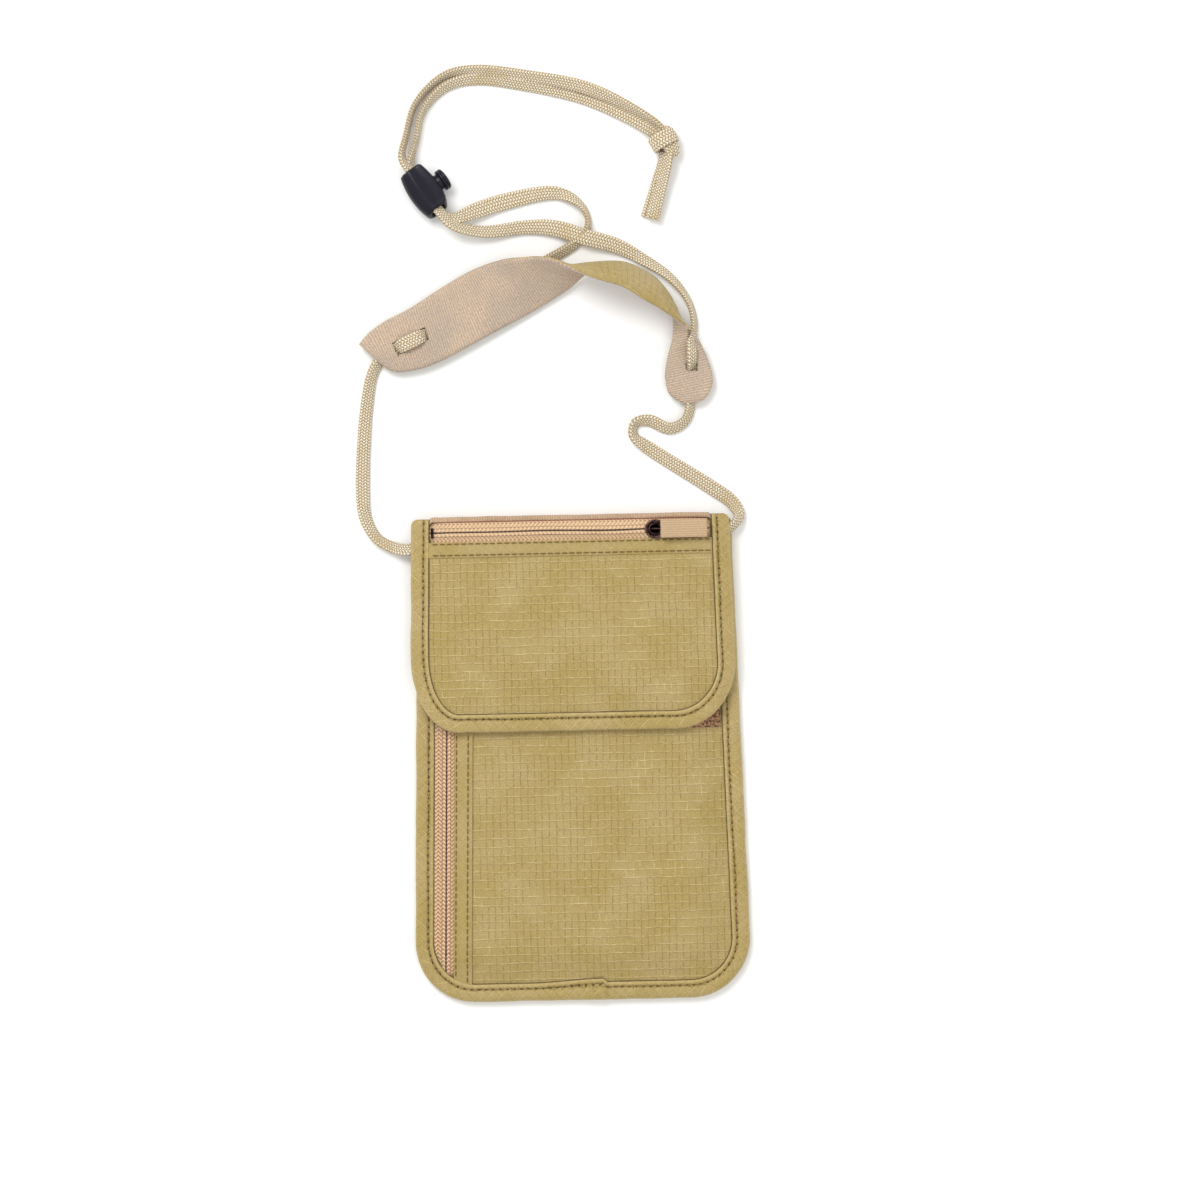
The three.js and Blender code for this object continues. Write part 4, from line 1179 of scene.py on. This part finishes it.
def braid(name, route, shown):
    """Flat braid along a route, twisted so that it looks `shown` wide from above. Returns (piece, path)."""
    per = 24
    dense = catmull(route, per)
    stations = distances(dense)[::per]
    line, along = spaced(dense, 0.7)
    look = np.interp(along, stations[:len(shown)], shown)
    look = np.convolve(np.pad(look, 6, "edge"), np.ones(13) / 13, "valid")
    width = np.maximum(CORD_WIDTH, look)
    share = (look ** 2 - CORD_THICK ** 2) / (width ** 2 - CORD_THICK ** 2)
    lean = np.arccos(np.sqrt(np.clip(share, 0, 1)))
    tangent = directions(line)
    side = unit(np.cross(tangent, (0, 0, 1)))
    up = np.cross(side, tangent)
    ups = up * np.cos(lean)[:, None] + side * np.sin(lean)[:, None]
    reach = np.hypot(width / 2 * np.sin(lean), CORD_THICK / 2 * np.cos(lean))
    line[:, 2] = np.maximum(line[:, 2], reach + 0.05)
    return sweep(name, line, ups, width), line * MM


def make_cords():
    knot = make_knot()
    for side, route, shown, into_knot, length in (
        ("left", NECK_CORD_LEFT, SHOWN_LEFT, (39.4, 260.4, 3.6), 0.445),
        ("right", NECK_CORD_RIGHT, SHOWN_RIGHT, (41, 261.8, 4.8), 0.443),
    ):
        piece, path = braid(f"braid_{side}", [*route, into_knot], shown)
        dress(piece, BRAID_PAINT, "pouch", "cord_braid", f"neck_cord_{side}")


KNOT_CENTRE = np.array([41.6, 256.6, 4.2])


def knot_wrap(name, heading, tilt, size, offset, width):
    """A turn of braid round the knot: heading is the way it runs in plan, tilt leans its plane."""
    turn = full_turn(72)
    forward = Vector((math.cos(heading), math.sin(heading), 0))
    sideways = Vector((-math.sin(heading), math.cos(heading), 0))
    upward = Vector((0, 0, 1)) * math.cos(tilt) + sideways * math.sin(tilt)
    ring = np.array([forward * (size[0] * math.cos(a)) + upward * (size[1] * math.sin(a)) for a in turn])
    out = unit(np.array([forward * math.cos(a) / size[0] + upward * math.sin(a) / size[1] for a in turn]))
    line = KNOT_CENTRE + ring + np.array(sideways) * offset
    return sweep(name, line, out, width, 1.6, closed=True)


def make_knot():
    """An overhand knot in both cords, with their two cut tails below it."""
    wraps = [
        ("knot_wrap_over", 0.5, 0.12, (5.2, 3.7), 1.5, 6.6),
        ("knot_wrap_side", 1.9, -0.2, (6.0, 2.1), -1.4, 5.4),
        ("knot_wrap_under", -0.95, 0.1, (5.0, 1.9), 0.6, 6.2),
    ]
    pieces = []
    for wrap in wraps:
        pieces.append(dress(knot_wrap(*wrap), BRAID_PAINT, "pouch", "cord_braid"))
    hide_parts("cord_knot")
    for side, start, route, shown in (
        ("left", (41, 253.2, 3.4), CORD_TAIL_LEFT, (3.8, 4.2, 4.8, 5.4, 7.2)),
        ("right", (43, 253.6, 4.6), CORD_TAIL_RIGHT, (3.6, 4, 4.6, 4.8, 5.8)),
    ):
        tail, _ = braid(f"braid_tail_{side}", [start, *route], shown)
        pieces.append(dress(tail, BRAID_PAINT, "pouch", "cord_braid", f"cord_tail_{side}"))
    return pieces


LOCK_PLACE = (
    Matrix.Translation((-59.3, 238.2, 6.2)) @ Matrix.Rotation(math.radians(-55.7), 4, "Z")
    @ Matrix.Rotation(math.radians(-10), 4, "X")
)
LOCK_HALF = 11.0                      # half its length
LOCK_LEAN = 0.34                      # how far the lower end leans back, for each millimetre up
LOCK_SECTION = [
    (6.2, -0.4), (6.15, 3.0), (5.4, 4.8), (4.6, 4.9), (1.5, 4.6), (-1.9, 5.1), (-3, 5.0), (-3.5, 4.3),
    (-6.2, 1.9), (-6.9, 0.4), (-6.9, -1.4), (-6.2, -3.6), (-4.4, -4.7), (0, -4.8), (4.6, -4.7), (6, -3.2),
]
LOCK_TUNNEL = (3.3, 2.75)             # half the size of the way through for the cords


def rounded(corners, times=3, cut=0.18):
    """Cuts a polygon's corners, over and over."""
    points = np.array(corners, float)
    for _ in range(times):
        following = np.roll(points, -1, axis=0)
        pairs = [points * (1 - cut) + following * cut, points * cut + following * (1 - cut)]
        points = np.stack(pairs, 1).reshape(-1, 2)
    return points


def make_lock():
    """The cord lock: a barrel-shaped body with a bevelled side, and its round plunger."""
    section = rounded(LOCK_SECTION)
    tunnel = section / np.abs(section).max(axis=0) * LOCK_TUNNEL

    def along(share, z):
        return LOCK_HALF * share - LOCK_LEAN * float(smooth(0.5, 1, share)) * (z + 4)

    rings = []
    for share in np.sin(np.linspace(-math.pi / 2, math.pi / 2, 25)):
        end = float(smooth(0.95, 1, abs(share)))
        slim = 1 - 0.26 * share ** 2 - 0.12 * end
        low = 1 - 0.14 * share ** 2 - 0.12 * end
        rings.append([(along(share, z * low), y * slim, z * low) for y, z in section])
    for share in (1, 0.9, -0.9, -1):
        rings.append([(along(share, z) - 0.1 * share, y, z) for y, z in tunnel])
    shell = Shell()
    shell.rings(rings, wrap=True)
    dress(shell.build("lock_barrel", LOCK_PLACE), PLASTIC_PAINT, "pouch", "lock_plastic", "lock_body")

    profile = [
        (0.4, 5.7), (3.3, 5.7), (3.4, 6), (3.5, 7.5), (3.7, 7.75), (4.3, 7.85), (4.6, 8.1), (4.65, 8.5),
        (4.6, 8.7), (4.3, 8.85), (4.3, 9.0), (4.6, 9.15), (4.65, 9.5), (4.6, 9.95), (4.3, 10.3),
        (3.7, 10.45), (3.3, 10.35), (3.0, 10.1), (0.4, 10.15),
    ]
    shell = Shell()
    shell.rings([[(r * math.sin(a), y, r * math.cos(a)) for a in full_turn(48)] for r, y in profile])
    dress(shell.build("lock_button", LOCK_PLACE), PLASTIC_PAINT, "plunger", "lock_plastic", "lock_plunger")


def soften(node, width, material):
    """Rounds a CAD node's edges and paints it."""
    piece = bpy.data.objects[node]
    bevel = piece.modifiers.new("edges", "BEVEL")
    bevel.width = width * MM
    bevel.segments = 3
    bevel.limit_method = "ANGLE"
    bevel.angle_limit = math.radians(24)
    piece.data.materials.clear()
    piece.data.materials.append(material)


# ---- neck pad ----

# across the strip at each place along it: one edge, the other edge, how far the middle bows out
PAD_STATIONS = [
    ((-80, 166.8, 3.6), (-88.7, 175, 3.6), 0),
    ((-75.6, 163.7, 3.6), (-84, 180, 3.6), 0),
    ((-70, 163, 3.6), (-77.2, 184.6, 3.6), 0),
    ((-59.1, 165.3, 3.6), (-67, 189.6, 3.6), 0),
    ((-46.4, 171.1, 3.4), (-54.3, 197.5, 3.8), 0),
    ((-29.4, 180, 3), (-41.5, 204.6, 4.6), 0),
    ((-18.8, 185.4, 2.2), (-30.9, 208.2, 7.5), 0.3),
    ((-10.3, 190.2, 1.9), (-22.5, 209.3, 12), 0.8),
    ((0.3, 196.8, 1.9), (-7.4, 208.5, 19), 2.2),
    ((8.4, 203.2, 1.9), (8.6, 200.4, 23.5), 4.8),
    ((21, 206.8, 1.9), (22.2, 195.8, 24), 3.4),
    ((31.2, 203.6, 1.9), (30, 191, 22.5), 2.6),
    ((38, 198, 1.9), (37, 187, 20), 2.4),
    ((43.2, 188.4, 2), (44, 182.4, 16), 1.4),
    ((43.2, 176.2, 3), (50.8, 178.2, 9.8), 0.6),
    ((40.9, 168, 3.6), (54.9, 171.9, 4.9), 0),
    ((39.4, 159.7, 3.6), (58.2, 163.4, 3.8), 0),
    ((40.4, 152.6, 3.6), (59.4, 156.6, 3.8), 0),
    ((42.8, 149.7, 3.6), (57.7, 151.3, 3.6), 0),
    ((45.8, 148, 3.6), (55.4, 148.8, 3.6), 0),
    ((48.6, 147.3, 3.6), (52.4, 147.4, 3.6), 0),
]
# what the cord passes through: x, y, turn in degrees, length along the cord, width
PAD_OPENINGS = [
    (-72, 173.2, 24.5, 3.4, 6), (-61.6, 178.1, 24.5, 3.4, 6),
    (50.9, 162.9, 90, 4, 4.8), (51.4, 174.8, 90, 6, 4.6),
]
PAD_STEPS = (16, 34)                  # along, for each station, and across
PAD_WRINKLE = 0.25


def eased(values, steps):
    """A smooth curve through each station's values."""
    v = carried_on(np.array(values, float))
    share = np.linspace(0, 1, steps, endpoint=False)[:, None]
    parts = [
        cubic(b, c, (c - a) / 2, (d - b) / 2, share) for a, b, c, d in zip(v, v[1:], v[2:], v[3:])
    ]
    return np.vstack(parts + [v[-2:-1]])


def pad_surface():
    """The pad's middle surface and its normals, as grids of points."""
    rows = eased([(*low, *high, bow) for low, high, bow in PAD_STATIONS], PAD_STEPS[0])
    low, high, bow = rows[:, :3], rows[:, 3:6], rows[:, 6]
    heading = unit(np.gradient(low, axis=0) * (1, 1, 0))
    outwards = np.stack([-heading[:, 1], heading[:, 0], 0 * bow], 1)
    t = np.linspace(0, 1, PAD_STEPS[1])
    points = low[:, None] + (high - low)[:, None] * t[None, :, None]
    points = points + (outwards * bow[:, None])[:, None] * (4 * t * (1 - t))[None, :, None]
    normal = unit(np.cross(np.gradient(points, axis=0), np.gradient(points, axis=1)))
    return points, normal


def pad_sheet(name, offset, thick, material, slot, node):
    """One of the pad's two cloths, `offset` from its middle surface and brought together at the edges."""
    points, normal = pad_surface()
    rows, columns = points.shape[:2]
    along = np.broadcast_to(distances(points[:, columns // 2])[:, None], (rows, columns))
    across = np.array([distances(row) for row in points])
    across = across - across[:, -1:] / 2
    rim = np.minimum(across - across[:, :1], across[:, -1:] - across)
    ends = np.minimum(along, along[-1, 0] - along)
    edge = np.sqrt(np.clip(np.minimum(rim, ends) / 1.6, 0, 1))
    lift = offset * (0.25 + 0.75 * edge) + PAD_WRINKLE * ripple(along, across, 16, 5.1) * edge
    surface = points + normal * lift[..., None]
    surface[..., 2] = np.maximum(surface[..., 2], 0.25)
    plan = surface.reshape(-1, 3)[:, :2]
    faces = [f for f in quads(rows, columns) if not in_opening(*plan[list(f)].mean(axis=0))]
    piece = thicken(mesh_object(name, surface, faces, np.stack([along, across], -1)), thick)
    dress(piece, material, "pouch", slot, node)


def in_opening(x, y):
    """Whether a place in plan is in one of the pad's slots."""
    for middle_x, middle_y, degrees, length, width in PAD_OPENINGS:
        sine, cosine = math.sin(math.radians(degrees)), math.cos(math.radians(degrees))
        dx, dy = x - middle_x, y - middle_y
        if abs(dx * cosine + dy * sine) < length / 2 and abs(dy * cosine - dx * sine) < width / 2:
            return True
    return False


# ---- everything ----

RIPSTOP_PAINT = ripstop_paint()
BINDING_PAINT = binding_paint()
FACING_PAINT = facing_paint()
FRONT_TAPE_PAINT = tape_paint("zip_tape", 5.1, 0.8)
FLAP_TAPE_PAINT = tape_paint("flap_zip_tape", 4.0, 0.5)
KNIT_PAINT = knit_paint("back_knit", (202, 176, 146), (186, 160, 130))
# the back's knit, painted darker as painted shade where it curls over the top edge
SHADED_FOLD_PAINT = knit_paint("fold_knit_shaded", (200, 168, 134), (186, 154, 121))
PAD_PAINT = knit_paint("pad_knit", (208, 185, 160), (192, 174, 154), 0.12)
RIBBON_PAINT = ribbon_paint()
BRAID_PAINT = braid_paint()
THREAD_PAINT = thread_paint()
LINING_PAINT = lining_paint()
FOIL_PAINT = foil_paint()
LOOP_PAINT = pile_paint("loop_pile", 0.9)
PLASTIC_PAINT = plastic_paint()
BRONZE_PAINT = bronze_paint()
SHADED_COIL_PAINT = shaded_coil_paint()
STEEL_PAINT = steel_paint()

make_camera()
make_cords()
make_light()
make_floor()

make_body_cloths()
make_mouth_hem()
make_front_zip()
binding("body_rim", BODY, SEWN_TOP_Y, 0.1, 4, "pouch", "body_binding", 1.1, lap=8.9)
make_pile("loop_tape", (-38.3, 59.7), (11.5, 31.5), body_top, 0.8, "pouch", "loop_strip")

make_flap_cloths()
make_flap_zip()
binding("flap_rim", FLAP, SEWN_TOP_Y + 1.2, FLAP_BASE, FLAP_BASE + 2.45, "flap", "flap_binding", 4.6,
        sag=flap_droop)
make_pile("hook_tape", (-26, 26), (19.1, 32), lambda x, y: flap_top(x, y) - 1.5, -0.6, "flap",
          "hook_strip")
make_fold()

for zip_name, pull_body in (("flap", "flap_pull"), ("front", "front_slider")):
    make_slider(f"{zip_name}_slider_body", f"{zip_name}_zip_slider", f"{zip_name}_slider")
    make_ribbon(f"{zip_name}_ribbon", f"{zip_name}_zip_slider", pull_body, f"{zip_name}_zip_pull")
make_end_stop("front_staple", "front_zip_end_stop", "pouch")
make_end_stop("flap_staple", "flap_zip_end_stop", "flap")
soften("flap_zip_coil", 0.2, SHADED_COIL_PAINT)
soften("front_zip_coil", 0.2, SHADED_COIL_PAINT)
make_lock()
soften("lock_spring", 0.02, STEEL_PAINT)

make_anchor("anchor_left", (-53.5, 94.6), "cord_anchor_left")
make_anchor("anchor_right", (51.5, 94.6), "cord_anchor_right")

pad_sheet("pad_knit", 1.2, 0.9, PAD_PAINT, "pad_knit", "neck_pad_lining")
pad_sheet("pad_cloth", -0.7, -0.6, RIPSTOP_PAINT, "ripstop_cloth", "neck_pad_outer")
